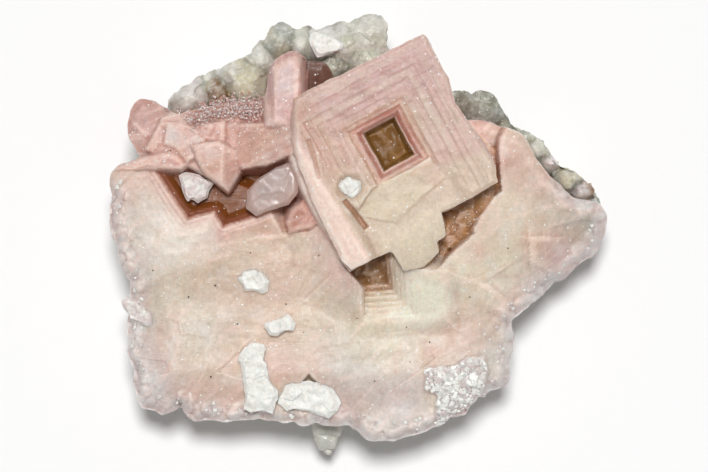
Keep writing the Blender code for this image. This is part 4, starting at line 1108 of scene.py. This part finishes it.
def pinkField(worldX, worldY):
    # height and colour at each place: parts laid over one another, each new one joined by a filled crease
    x, y = worldX.ravel(), worldY.ravel()
    flat = flatPoints(x, y)
    height, colour = coreSurface(x, y, flat)
    parts = [(lowerSurface(x, y, flat), 0.8), (leftSurface(x, y, flat), 0.8),
             (lobeSurface(x, y, flat), 0.8)]
    parts += [(crystalSurface(x, y, flat, spec, 500 + 10 * number), spec.get("soft", 0.25))
              for number, spec in enumerate(crystals.values())]
    for (own, ownColour), soft in parts:
        height, share = softHigher(height, own, soft)
        colour = mixed(colour, ownColour, share[:, None])
    inset = insetOutline(x, y, pinkBody["outline"])
    # the rim is rounded and knobby, most of all at the left and along the bottom
    rim = 1.0 - ramp(inset, 0, 3.2)
    low = ramp(y, 14, 8)
    knobs = softNoise(flat, 4, 81, 2) + 0.8 * softNoise(flat, 1.5, 82, 3)
    height = height - (0.8 + 2.6 * low) * rim**2 + 0.8 * knobs * ramp(inset, 5, 0.5) * low
    pale = ramp(inset + 1.2 * softNoise(flat, 7, 89, 2), 4.6, 0.6) * low
    number, other, _, du, dv, _ = shards(x, y, 2.3, 20, 1, 83)
    dome = np.sqrt(np.clip(1.0 - (du * du + dv * dv) / 2.4, 0, 1))
    height += 1.4 * (0.4 + 0.6 * number) * dome * pale
    colour = layered(colour, (
        ("lilac", 0.7 * pale),
        ("white", 0.9 * pale * dome * (0.35 + 0.65 * other)),
        ("mauve", 0.4 * pale * ramp(knobs, 0, -0.7))))
    # brushed streaks that bend slowly, and cloudy paler and pinker places all over
    u, v = turned(x, y, 35)
    bend = 2.4 * softNoise(flat, 16, 87, 2)
    brushed = softNoise(flatPoints(u / 7.0 + bend, (v + 4.0 * bend) / 0.9), 1, 88, 2)
    bright = ramp(colour.mean(axis=1), 0.15, 0.4)
    colour = layered(colour, (
        ("petal", 0.36 * bright * ramp(brushed, 0.15, 0.6)),
        ("apricot", 0.15 * bright * ramp(-brushed, 0.15, 0.6))))
    cloud = softNoise(flat, 3, 85, 4)
    colour = layered(colour, (
        ("white", 0.26 * bright * ramp(cloud, 0.15, 0.6)),
        ("rose", 0.17 * bright * ramp(cloud, -0.15, -0.6))))
    colour = colour * pinkBody["tone"]
    # painted light: pale pools laid over the slope right of the small pit
    for name, middleX, middleY, reach, share in pinkBody["paintedLightPools"]:
        away = (x - middleX) ** 2 + (y - middleY) ** 2
        colour = blendColour(colour, name, share * bright * np.exp(-away / reach**2))
    return height.reshape(worldX.shape), colour


def pinkTop(worldX, worldY, gridX, gridY, margin):
    # the height of the field alone
    return pinkField(worldX, worldY)[0]


def makePinkBody():
    # the field as a closed body; its walls take the colour of the rim above them
    points, faces, local = plate(pinkBody, pinkTop)
    top = local["top"] > 0.5
    colour = pinkField(points[top, 0], points[top, 1])[1][local["above"]]
    shares = ramp(softNoise(points, 3, 86, 3), -0.3, 0.4) * ramp(local["wall"], 0, 0.15)
    colour = blendColour(colour, "lilac", 0.6 * shares * (1.0 - local["top"]))
    # painted highlight on edges that stand out and painted shade in creases, only on the high, bright salt
    paintedEdgeAndCrease = paintEdgeLightAndCreaseShade(colour, local, "petal", "rose", 0.4, 0.18)
    paintedLightShare = ramp(points[:, 2], 26.5, 30) * ramp(colour.mean(axis=1), 0.12, 0.35)
    colour = colour + (paintedEdgeAndCrease - colour) * paintedLightShare[:, None]
    points = roughen(points, ((6, 0.25, 83), (1.3, 0.1, 84)), pinkBody["foot"])
    points = craggy(points, local["wall"], ((8, 1.5, 181), (3, 1.1, 182)), pinkBody["foot"])
    makePiece("pinkBody", points, faces, pinkSalt, colour)


# Grains: specks, glints, the rim and the two sugary patches. Their facets stay sharp past this angle.
grainSharp = 25.0


def alongLine(line, count, draw):
    # evenly drawn places on a line of corners, and the direction square to it
    corners = np.array(line, float)
    steps = np.diff(corners, axis=0)
    lengths = np.hypot(steps[:, 0], steps[:, 1])
    reach = np.concatenate([[0.0], np.cumsum(lengths)])
    drawn = draw.uniform(0.0, reach[-1], count)
    part = np.clip(np.searchsorted(reach, drawn) - 1, 0, len(steps) - 1)
    share = (drawn - reach[part]) / lengths[part]
    places = corners[part] + steps[part] * share[:, None]
    square = np.stack([-steps[part, 1], steps[part, 0]], -1) / lengths[part][:, None]
    return places, square


def grainColours(owner, names, draw):
    # one of several colours for each grain, a little lighter or darker than the next
    count = owner.max() + 1
    picked = np.array([linear(name) for name in names])[draw.integers(0, len(names), count)]
    return (picked * draw.uniform(0.9, 1.06, (count, 1)))[owner]


specks = {
    # tiny dark grains that lie on the pink salt: where, and their size
    "places": ((25.4, -14), (16.4, -24.2), (11.2, -20.8), (12, -28.6), (0, -18.8), (-16, -15.6),
        (-32, -11.4), (-42, 19), (-8.6, -4.6), (-27, -20), (-38, -14), (-12, -22), (4, -33), (34, -3),
        (-46, -8), (-33, -32), (-24, -4)),
    "sizes": (0.1, 0.2), "lift": 0.1, "seed": 19,
}


def onPink(places):
    # the height of the pink salt at each place
    return pinkField(places[:, :1], places[:, 1:])[0]


def grainRadii(sizes, slim, count, draw):
    # one drawn size for each grain, cut to between slim and all of it along each of its axes
    return draw.uniform(*sizes, (count, 1)) * draw.uniform(slim, 1.0, (count, 3))


def makeSpecks():
    # dark grains that rest on the pink salt
    draw = np.random.default_rng(specks["seed"])
    places = np.array(specks["places"])
    height = onPink(places)
    radii = grainRadii(specks["sizes"], 0.7, len(places), draw)
    points, faces, owner = grainCloud(np.column_stack([places, height + specks["lift"]]), radii, draw)
    makePiece("specks", points, faces, grainSalt, grainColours(owner, ("soot",), draw),
              grainSharp)


edgeCrust = {
    # small grains inside the rim: the line they follow, how far in from it, how many and their sizes
    "line": ((-54.8, 13), (-55.6, 4.5), (-53.8, -3), (-50.4, -10), (-51.2, -15), (-51.2, -26.5),
        (-48.8, -34), (-45.4, -38.6), (-41.6, -38.4), (-35.5, -40.4), (-26, -41.3), (-13, -41.6),
        (-1, -42.2), (4, -44.6), (14, -44.4), (19.4, -41.4), (24.4, -39.4), (26.8, -35.6), (32.4, -33.6),
        (33.6, -25.5), (33.4, -20), (40.4, -13.4), (46, -9.8), (52.6, -4.8), (55.4, 2)),
    "inwards": (0.4, 2.6), "grains": 100, "sizes": (0.25, 0.7), "seed": 7,
}


glints = {
    # tiny white grains that stand in for glints, as painted glints: an outline to scatter them in, how many
    "fields": ((((-51, 17), (-50, 30), (-13, 31), (-13, 16), (-28, 14)), 260), (((-2, -9), (6, -4),
        (16, -9), (12, -20), (0, -18)), 70), (((16, -7), (20, 5), (31, 11), (27, 3), (20, -5)), 60),
        (((-54, 12), (-38, 2), (-20, 3), (-30, -20), (-50, -34)), 70)),
    "sizes": (0.06, 0.18), "seed": 29,
}


def insidePlaces(outline, count, draw):
    # places drawn evenly inside a closed outline
    corners = np.array(outline)
    drawn = draw.uniform(corners.min(axis=0), corners.max(axis=0), (6 * count, 2))
    return drawn[insetOutline(drawn[:, 0], drawn[:, 1], outline) > 0.3][:count]


def makeGlints():
    # white grains half sunk in the pink salt, as painted glints
    draw = np.random.default_rng(glints["seed"])
    places = np.concatenate([insidePlaces(outline, count, draw) for outline, count in glints["fields"]])
    radii = grainRadii(glints["sizes"], 0.5, len(places), draw)
    points, faces, owner = grainCloud(np.column_stack([places, onPink(places)]), radii, draw)
    makePiece("glints", points, faces, grainSalt, grainColours(owner, ("snow",), draw),
              grainSharp)


def sunkGrains(places, sizes, sunk, square, draw):
    # boxy grains whose middles lie below the pink salt by a share of their size
    size = draw.uniform(*sizes, (len(places), 1))
    centres = np.column_stack([places, onPink(places) - sunk * size])
    radii = size * draw.uniform(0.6, 1.0, (len(places), 3)) * 0.8
    return grainCloud(centres, radii, draw, around=12, up=8, square=square, rough=0.06)


def makeEdgeCrust():
    # grains scattered just inside the rim
    draw = np.random.default_rng(edgeCrust["seed"])
    places, square = alongLine(edgeCrust["line"], edgeCrust["grains"], draw)
    places = places + square * draw.uniform(*edgeCrust["inwards"], (len(places), 1))
    points, faces, owner = sunkGrains(places, edgeCrust["sizes"], 0.25, 0.3, draw)
    colour = grainColours(owner, ("white", "white", "lilac"), draw)
    makePiece("edgeCrust", points, faces, grainSalt, colour, grainSharp)


whiteDruse = {
    # little white cubes that crowd inside the outline of the druse: how many and their sizes, larger
    # ones first
    "grains": ((120, 0.7, 1.4), (330, 0.3, 0.7)), "rim": 0.6, "seed": 9,
}


def makeWhiteDruse():
    # white cubes scattered in the druse
    draw = np.random.default_rng(whiteDruse["seed"])
    bodies = []
    for count, small, large in whiteDruse["grains"]:
        places = insidePlaces(crystals["druse"]["outline"], count, draw)
        places = places[insetOutline(places[:, 0], places[:, 1], pinkBody["outline"]) > whiteDruse["rim"]]
        points, faces, owner = sunkGrains(places, (small, large), 0.42, 0.25, draw)
        bodies.append((points, faces, grainColours(owner, ("snow", "snow", "white", "lilac"), draw)))
    points, faces, colour = joinBodies(bodies)
    makePiece("whiteDruse", points, faces, grainSalt, colour, grainSharp)


sugarLedge = {
    # the drusy rim behind the upper crystals: the line it follows, how far inwards and how wide it lies,
    # the heights of its grains and how they fall away outside the line
    "line": ((-38, 24.6), (-33, 28), (-27, 29), (-22, 28.4), (-18, 29.4)),
    "grains": 1500, "sizes": (0.16, 0.42), "band": 2.8, "inwards": 0, "heights": (33.2, 34.2), "fall": 0.8,
        "seed": 13,
    "colours": ("dusk", "mauve", "lilac", "rose", "mauve", "white", "dusk"),
}


def makeBand(name, spec):
    # grains on both sides of a line, thinning out from it as a bell
    draw = np.random.default_rng(spec["seed"])
    places, square = alongLine(spec["line"], spec["grains"], draw)
    offset = draw.normal(0.0, spec["band"] * 0.5, (len(places), 1))
    heights = draw.uniform(*spec["heights"], (len(places), 1)) - np.maximum(offset, 0) * spec["fall"]
    centres = np.column_stack([places + square * (offset - spec["inwards"]), heights])
    radii = grainRadii(spec["sizes"], 0.5, len(places), draw) * 0.6
    points, faces, owner = grainCloud(centres, radii, draw)
    makePiece(name, points, faces, grainSalt, grainColours(owner, spec["colours"], draw),
              grainSharp)


# The grey granular salt underneath.
matrixGround = {
    "centre": (-2, 2), "turn": 0, "half": (51, 44), "foot": 0, "cell": 0.8, "rows": 10,
    "swell": 1, "spread": -1.5, "ragged": 1.6, "inner": 0.5,
    "outline": ((-43, 24), (-36, 28), (-22, 38), (-4, 43), (2, 42), (8, 38), (22, 30), (30, 26), (39, 17),
        (48, 7), (48, 2), (39, -10), (33, -21), (28, -31), (19, -40), (4, -42.5), (-20, -40), (-40, -37),
        (-48, -30), (-49.5, -12), (-53, 2), (-51, 12)),
}

# the lumps that show behind and to the right: centre of each, its size, turn and colours
matrixBack = {
    "centre": (-14, 34), "turn": 14, "half": (27, 13), "foot": 0.3, "cell": 0.27, "rows": 20,
    "swell": 0.2, "spread": -1.6, "flare": -0.8, "ragged": 0.45, "inner": 0.2, "soften": 1.6,
    "outline": ((-43.6, 26.6), (-42.6, 30.2), (-40.4, 33), (-37.6, 34.4), (-35, 35.6), (-33.6, 37.2),
        (-31.4, 38.4), (-29.8, 37.4), (-28.4, 39), (-25, 40.4), (-23.8, 41.2), (-22, 43.6), (-20.4, 45),
        (-19.4, 47), (-17.6, 48.2), (-15.8, 47.8), (-14.8, 46.8), (-12.8, 46.8), (-11, 47.6), (-8.8, 46.6),
        (-6, 47.8), (-3, 48.8), (-1.6, 47.6), (0.2, 48.4), (1, 49.8), (2.8, 50.2), (5.4, 49.4), (6.2, 47.4),
        (7, 45.4), (6.4, 43.4), (9, 39), (8, 30), (-6, 24), (-20, 20), (-38, 18), (-44, 22)),
    "lumps": (
        ((2.6, 44.4, 23), (11, 11.6, 12), 20, ("mist", "sage")),
        ((2.6, 39, 24), (9, 8, 11), 10, ("mist", "sage")),
        ((-2.6, 43, 23.6), (8, 8, 11), 40, ("mist", "sage")),
        ((-7.4, 43.2, 23.8), (8, 6.4, 10), 10, ("white", "mist")),
        ((-5, 38.4, 22), (8, 6, 9), 30, ("sage", "shade")),
        ((-12.6, 42.8, 22.4), (5.4, 7, 10), 15, ("mist", "sage")),
        ((-17.4, 44, 22), (7.2, 8.4, 12), 15, ("slate", "lime")),
        ((-21.6, 39.6, 19.6), (7.4, 8, 12), 50, ("sage", "mist")),
        ((-24.6, 33.8, 25.2), (7.6, 8.6, 10), 4, ("lime", "butter")),
        ((-27.6, 36.4, 22.4), (7, 6.6, 10), 24, ("mist", "lime")),
        ((-31.6, 32, 20.6), (6, 7.2, 11), 10, ("olive", "lime")),
        ((-37.4, 31.2, 20.4), (8.6, 7.4, 11), 25, ("mist", "lilac")),
        ((-34, 35, 16.4), (5, 4.4, 9), 25, ("sage", "mist")),
        ((-31.4, 36.6, 15), (4.6, 4.6, 8), 10, ("slate", "mist")),
        ((-40.6, 27, 17), (6, 4.6, 8), 20, ("shade", "amber")),
        ((-25.6, 39.4, 15), (6, 4.4, 9), 40, ("slate", "sage")),
        ((-11.2, 46.4, 15.4), (4.6, 3.8, 8), 30, ("shade", "slate")),
        ((-6.4, 46.8, 16), (5, 3.6, 8), 10, ("shade", "slate")),
        ((-3.4, 47.4, 16.6), (4.4, 4, 8), 30, ("sage", "shade")),
        ((3, 48.4, 15.6), (6, 4.2, 9), 0, ("sage", "mist"))),
}
matrixRight = {
    "centre": (37, 18), "turn": -42, "half": (21, 9), "foot": 0.3, "cell": 0.27, "rows": 20,
    "swell": 0.2, "spread": -1.4, "flare": -0.8, "ragged": 0.45, "inner": 0.2, "soften": 2,
    "outline": ((20.6, 32), (22.8, 33), (24.4, 32.2), (25.2, 31.4), (26.6, 32.6), (28.2, 33), (30.6, 31.8),
        (32.8, 30), (32.8, 28), (34, 26.4), (35.2, 24.8), (37.4, 23.6), (39, 23.4), (42.4, 21),
        (43.4, 19.6), (44.2, 17.4), (46, 15.2), (48.4, 14.6), (50.6, 14), (51.4, 12), (53, 10.6),
        (53.6, 8.8), (55.2, 7.2), (56.6, 4.4), (50, 2), (40, 4), (30, 12), (20, 22), (17, 28)),
    "lumps": (
        ((28.4, 29, 24), (10, 9, 11), 28, ("shade", "slate")),
        ((22.6, 31.4, 17), (4.6, 4.4, 9), 20, ("shade", "slate")),
        ((24, 27.6, 19), (5.6, 5.6, 9), 60, ("slate", "mist")),
        ((33.2, 25.4, 17.6), (5, 4.6, 9), 10, ("shade", "lime")),
        ((38, 22, 18), (5.6, 4.6, 9), 40, ("sage", "slate")),
        ((41.4, 19.4, 18.4), (5.6, 5, 9), 20, ("mist", "sage")),
        ((44, 16.4, 18.4), (5.2, 4.4, 9), 30, ("sage", "lilac")),
        ((48.4, 12.6, 19.6), (6.4, 5.4, 9), 25, ("slate", "lime")),
        ((51.2, 10.2, 19), (5, 4.8, 9), 10, ("lilac", "amber")),
        ((54, 6.6, 17.4), (4.6, 4.4, 9), 10, ("slate", "lilac"))),
}


def matrixField(worldX, worldY, lumps, seed):
    # boxy domes, each a height over its centre that falls with the power 2.3 of the reach, joined by
    # creases
    x, y = worldX.ravel(), worldY.ravel()
    flat = flatPoints(x, y)
    height = 9.0 + 1.0 * softNoise(flat, 3, seed, 3)
    colour = paint(flat, "shade", (), seed)
    for number, (centre, size, turn, names) in enumerate(lumps):
        u, v = turned(x - centre[0], y - centre[1], turn)
        reach = (np.abs(2.0 * u / size[0]) ** 2.8 + np.abs(2.0 * v / size[1]) ** 2.8) ** (1.0 / 2.8)
        own = centre[2] + 0.5 * size[2] * (1.0 - reach**2.3)
        own += shardRelief(x, y, 3.4, 20.0 * number, 1.2, seed + number, 0.7, 0.22, 0)
        height, share = softHigher(height, own, 0.8)
        own = paint(flat, names[0], (), seed + number)
        own = blendColour(own, names[1], ramp(softNoise(flat, 3.4, seed + 60 + number, 3), -0.3, 0.4))
        colour = mixed(colour, own, share[:, None])
    grit = softNoise(flat, 0.9, seed + 90, 2)
    height = height + 0.22 * grit + 0.3 * softNoise(flat, 2.2, seed + 91, 3)
    colour = blendColour(colour, "white", 0.35 * ramp(grit, 0.2, 0.7))
    return height.reshape(worldX.shape), colour


def makeMatrixBank(name, shape, seed):
    # a row of lumps as a closed body, with a painted highlight on its edges and painted shade in its
    # creases
    points, faces, local = plate(
        shape, lambda worldX, worldY, x, y, margin: matrixField(worldX, worldY, shape["lumps"], seed)[0])
    top = local["top"] > 0.5
    colour = matrixField(points[top, 0], points[top, 1], shape["lumps"], seed)[1][local["above"]]
    veil = ramp(softNoise(points, 3, seed, 3), -0.2, 0.4)
    colour = blendColour(colour, "slate", 0.4 * (1.0 - local["top"]) * veil)
    colour = paintEdgeLightAndCreaseShade(colour, local, "white", "shade", 0.25, 0.3, 0.3)
    points = roughen(points, ((2.6, 0.3, seed + 92), (0.9, 0.12, seed + 93)), shape["foot"])
    points = craggy(points, local["wall"], ((6, 1.6, seed + 94), (2.4, 1.1, seed + 95)), shape["foot"])
    makePiece(name, points, faces, greySalt, colour)


matrixGrains = {
    "line": ((-44, 26), (-40, 31), (-32, 36), (-22, 42), (-14, 45.4), (-3, 46.2), (3, 47.6), (5.6, 43.6),
        (20.6, 31), (30, 29), (36, 23), (42, 19.4), (48, 13), (53, 7.6)),
    "grains": 900, "sizes": (0.4, 1.3), "band": 1.6, "inwards": 1, "heights": (3, 19), "fall": 0,
        "seed": 17,
    "colours": ("sage", "slate", "mist", "sage", "mist", "slate"),
}

clearSpike = (
    # the grey spike at the lower edge: centre, size, turn
    ((-6.8, -43.4, 13), (7, 6, 8), 0), ((-7.4, -46.2, 12.6), (4.6, 5.4, 7), 25),
    ((-6, -46.6, 12.4), (3.2, 4.6, 6), -15), ((-8, -47.4, 11), (2.4, 4, 5), 10),
    ((-6.9, -48.9, 11), (1.8, 2.6, 4), 40))


def makeMatrix():
    # a low bed under the cluster, the two banks, loose grains and the spike
    points, faces, local = plate(matrixGround, lambda worldX, worldY, x, y, margin: 8.6 + 0.5 *
        softNoise(flatPoints(worldX, worldY), 3.5, 131, 3))
    colour = paint(points, "sage", (
        (-5, 44, 12, "mist", 0.6), (40, 18, 12, "slate", 0.5)), 8)
    colour = blendColour(colour, "slate", ramp(softNoise(points, 4, 133, 3), 0, 0.5) * 0.6)
    points = roughen(points, ((5, 0.8, 135), (1.6, 0.3, 136)), 0)
    ground = makePiece("matrixGround", points, faces, greySalt, colour)
    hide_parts("grey_salt_matrix")
    makeMatrixBank("matrixBack", matrixBack, 700)
    makeMatrixBank("matrixRight", matrixRight, 800)
    makeBand("matrixGrains", matrixGrains)
    bodies = []
    for number, (centre, size, turn) in enumerate(clearSpike):
        points, faces = lumpBody(centre, size, turn, 0.8, 56, 36, ((2, 0.4, 220 + number),), 0.2)
        bodies.append((points, faces, paint(points, "mist", ((-7.4, -46, 2.4, "slate", 0.8),), number)))
    points, faces, colour = joinBodies(bodies)
    makePiece("clearSpike", points, faces, grainSalt, colour)


chips = {
    # outline of each flake, its solid and its tone
    "chipInLeftPit": {"node": "chip_in_left_pit", "tone": "lilac", "outline": (
        (-40.3, 13.4), (-38.4, 14.2), (-35.8, 13.5), (-34.3, 12.4), (-32.1, 11.9), (-33.4, 10),
            (-33.8, 8.5),
        (-35.8, 7.2), (-37.3, 8.2), (-38, 7.6), (-39, 9.3), (-39.5, 11.1))},
    "chipOnMainHopper": {"node": "chip_on_main_hopper", "tone": "white", "outline": (
        (-4.3, 10.8), (-3.4, 12.4), (-1.8, 13.4), (-0.9, 12.4), (0.5, 12), (1.1, 10.8), (0.5, 9.5),
            (-0.5, 8.1),
        (-1.4, 7.9), (-2.3, 9), (-3.6, 9.9))},
    "chipUpperMiddle": {"node": "chip_upper_middle", "tone": "white", "outline": (
        (-26.9, -9.9), (-26, -8.1), (-23.3, -7.4), (-21, -8.7), (-19.8, -10.6), (-20.2, -12.7),
            (-21.5, -13.2),
        (-23.3, -12.5), (-25, -12.4), (-25.9, -10.9))},
    "chipMiddle": {"node": "chip_middle", "tone": "white", "outline": (
        (-20.8, -20.7), (-20.5, -19.7), (-17.8, -19.2), (-15.8, -17.9), (-13.9, -19.9), (-14.3, -21.7),
            (-16.3, -21.4),
        (-17.8, -22.7), (-19.5, -22.4))},
    "chipLong": {"node": "chip_long", "tone": "white", "outline": (
        (-25.3, -25.4), (-23.8, -24.2), (-20.8, -24.7), (-20.6, -25.9), (-21, -28.2), (-20.6, -30.4),
            (-19.8, -32.9),
        (-17.7, -35.2), (-18.3, -38.4), (-19, -40.2), (-21.3, -39.5), (-23.8, -39.9), (-25.5, -39.2),
            (-25.2, -35.9),
        (-25.8, -31.4), (-26.6, -28.4), (-26.3, -26.9))},
    "chipLower": {"node": "chip_lower", "tone": "white", "outline": (
        (-17.8, -37.9), (-16.3, -33.9), (-12.8, -32.9), (-10.5, -32.9), (-7.8, -33.4), (-5.3, -34.7),
            (-3.6, -37.9),
        (-4.3, -39.9), (-6.5, -41.3), (-9.3, -40.4), (-11.8, -39.4), (-14.3, -39.2), (-15.8, -39.9))},
    "chipLeftEdge": {"node": "chip_left_edge", "tone": "lilac", "outline": (
        (-53.3, -15.1), (-51.8, -14), (-49.8, -14.6), (-49.1, -16.5), (-46.3, -17.7), (-45.8, -19.9),
            (-47.3, -20.7),
        (-49.8, -19.4), (-51.3, -17.9), (-52.7, -16.5))},
    "chipOnMatrix": {"node": "chip_on_matrix", "tone": "white", "outline": (
        (-10.6, 45.2), (-9.3, 45.7), (-7, 45), (-4.3, 43.8), (-2.7, 43.2), (-3.2, 41.8), (-5.2, 41.4),
            (-7, 40.7),
        (-8.8, 40.2), (-9.9, 41.8), (-10.8, 43.6))},
}


def makeChip(name, spec, seed):
    # a flake under a faceted top, between the lowest and highest places of its solid
    low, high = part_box(spec["node"])
    corners = np.array(spec["outline"])
    middle = (corners.min(axis=0) + corners.max(axis=0)) / 2.0
    half = (corners.max(axis=0) - corners.min(axis=0)) / 2.0
    base, top = low.z / mm, high.z / mm

    def chipTop(worldX, worldY, x, y, margin):
        height = top - 0.6 + shardRelief(worldX, worldY, 3.2, 30, 1.3, seed, 0.3, 0.14, 0)
        height += 0.2 * softNoise(flatPoints(worldX, worldY), 1.2, seed + 1, 4)
        return np.minimum(height - 0.7 * ramp(margin, 0.7, 1), top)

    shape = {"centre": tuple(middle), "turn": 0.0, "half": tuple(half), "foot": base, "rows": 8,
             "cell": 0.17,
             "outline": spec["outline"], "ragged": 0.35, "inner": 0.3, "swell": 0.25, "spread": -0.5}
    points, faces, local = plate(shape, chipTop)
    colour = paint(points, spec["tone"], (), seed)
    colour = layered(colour, (
        ("white", 0.8 * ramp(softNoise(points, 1.6, seed + 2, 3), -0.1, 0.4)),
        ("mist", 0.5 * ramp(softNoise(points, 2.4, seed + 3, 2), 0.1, 0.6))))
    points = roughen(points, ((0.8, 0.12, seed + 4),), base)
    piece = makePiece(name, points, faces, whiteSalt, colour, sharp=24.0)
    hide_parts(spec["node"])


def makeChips():
    # each flake with its own seed
    for number, (name, spec) in enumerate(chips.items()):
        makeChip(name, spec, 300 + 10 * number)


clearBlade = {
    "centre": (-19.4, 10.6), "turn": 34, "half": (5.6, 5), "foot": 33.6, "cell": 0.22, "rows": 6,
    "outline": ((-24.7, 10), (-25, 6), (-22.6, 4.2), (-20, 5.4), (-15.4, 6.8), (-13.2, 9.4), (-13, 13.4),
        (-14.6, 16.4), (-18.2, 15.2), (-22.2, 12.6)),
    "tilt": 0.1, "top": 36.6, "ragged": 0,
}


def bladeTop(worldX, worldY, x, y, margin):
    # a tilted plane with a few broad flaws in it
    height = clearBlade["top"] + clearBlade["tilt"] * (worldX - clearBlade["centre"][0])
    height += shardRelief(worldX, worldY, 4, 35, 2.4, 241, 0.2, 0.05, 0)
    return height - 0.8 * ramp(margin, 0.8, 1) ** 1.4


def makeBlade():
    # a thin see-through plate with a few pale veils
    points, faces, local = plate(clearBlade, bladeTop)
    colour = paint(points, "pink", (
        (-16, 11, 4, "white", 0.3), (-22, 7, 3, "white", 0.3), (-18, 14, 3, "lilac", 0.7),
        (-21, 10, 2.4, "lilac", 0.6)), 9)
    points = roughen(points, ((1.6, 0.1, 243),), clearBlade["foot"])
    piece = makePiece("clearBlade", points, faces, clearSalt, colour)
    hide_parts("clear_blade")


# The floor, the light and the camera.
stage = {
    "floorWidth": 3.0, "lens": 354.0, "sensor": 36.0, "height": 1.6, "aim": (-0.00068, -0.00023),
    "sunTilt": 12.0, "sunTurn": 0.0, "sunAngle": 11.0, "sunStrength": 2.43, "dome": 0.255, "exposure": 0.0,
}


def makeStage():
    # a pale floor, one soft sun from the top, a pale sky and a camera that looks straight down
    half = stage["floorWidth"] / 2.0
    mesh = bpy.data.meshes.new("floor")
    mesh.from_pydata([(-half, -half, 0.0), (half, -half, 0.0), (half, half, 0.0), (-half, half, 0.0)], [],
                     [(0, 1, 2, 3)])
    floor = bpy.data.objects.new("floor", mesh)
    bpy.context.scene.collection.objects.link(floor)
    finish = bpy.data.materials.new("paleFloor")
    finish.use_nodes = True
    tree = finish.node_tree
    shader = tree.nodes["Principled BSDF"]
    place = addNode(tree, "TexCoord")
    clouds = addNode(tree, "TexNoise", Scale=3.0, Detail=2.0)
    tree.links.new(place.outputs["Object"], clouds.inputs["Vector"])
    tone = addNode(tree, "ValToRGB")
    tone.color_ramp.elements[0].color = (0.95, 0.95, 0.95, 1.0)
    tone.color_ramp.elements[1].color = (0.97, 0.97, 0.97, 1.0)
    tree.links.new(clouds.outputs["Fac"], tone.inputs["Fac"])
    tree.links.new(tone.outputs["Color"], shader.inputs["Base Color"])
    shader.inputs["Roughness"].default_value = 0.9
    mesh.materials.append(finish)
    sun = bpy.data.lights.new("keyLight", "SUN")
    sun.energy = stage["sunStrength"]
    sun.angle = radians(stage["sunAngle"])
    lamp = bpy.data.objects.new("keyLight", sun)
    lamp.rotation_euler = (radians(-stage["sunTilt"]), 0.0, radians(-stage["sunTurn"]))
    bpy.context.scene.collection.objects.link(lamp)
    world = bpy.data.worlds.new("softDome")
    world.use_nodes = True
    sky = world.node_tree.nodes["Background"]
    sky.inputs["Color"].default_value = (1.0, 0.99, 0.98, 1.0)
    sky.inputs["Strength"].default_value = stage["dome"]
    bpy.context.scene.world = world
    lens = bpy.data.cameras.new("camera")
    lens.lens = stage["lens"]
    lens.sensor_width = stage["sensor"]
    lens.clip_end = 10.0
    camera = bpy.data.objects.new("camera", lens)
    camera.location = (*stage["aim"], stage["height"])
    bpy.context.scene.collection.objects.link(camera)
    bpy.context.scene.camera = camera
    bpy.context.scene.view_settings.view_transform = "Standard"
    bpy.context.scene.view_settings.exposure = stage["exposure"]


makeMainHopper()
print("largest hopper built")
makePinkBody()
print("pink cluster built, crystals in it:", len(crystals))
makeSpecks()
makeGlints()
makeEdgeCrust()
makeWhiteDruse()
makeBand("sugarLedge", sugarLedge)
makeMatrix()
print("grains and matrix built")
makeChips()
makeBlade()
makeStage()
print("chips, floor, light and camera placed")
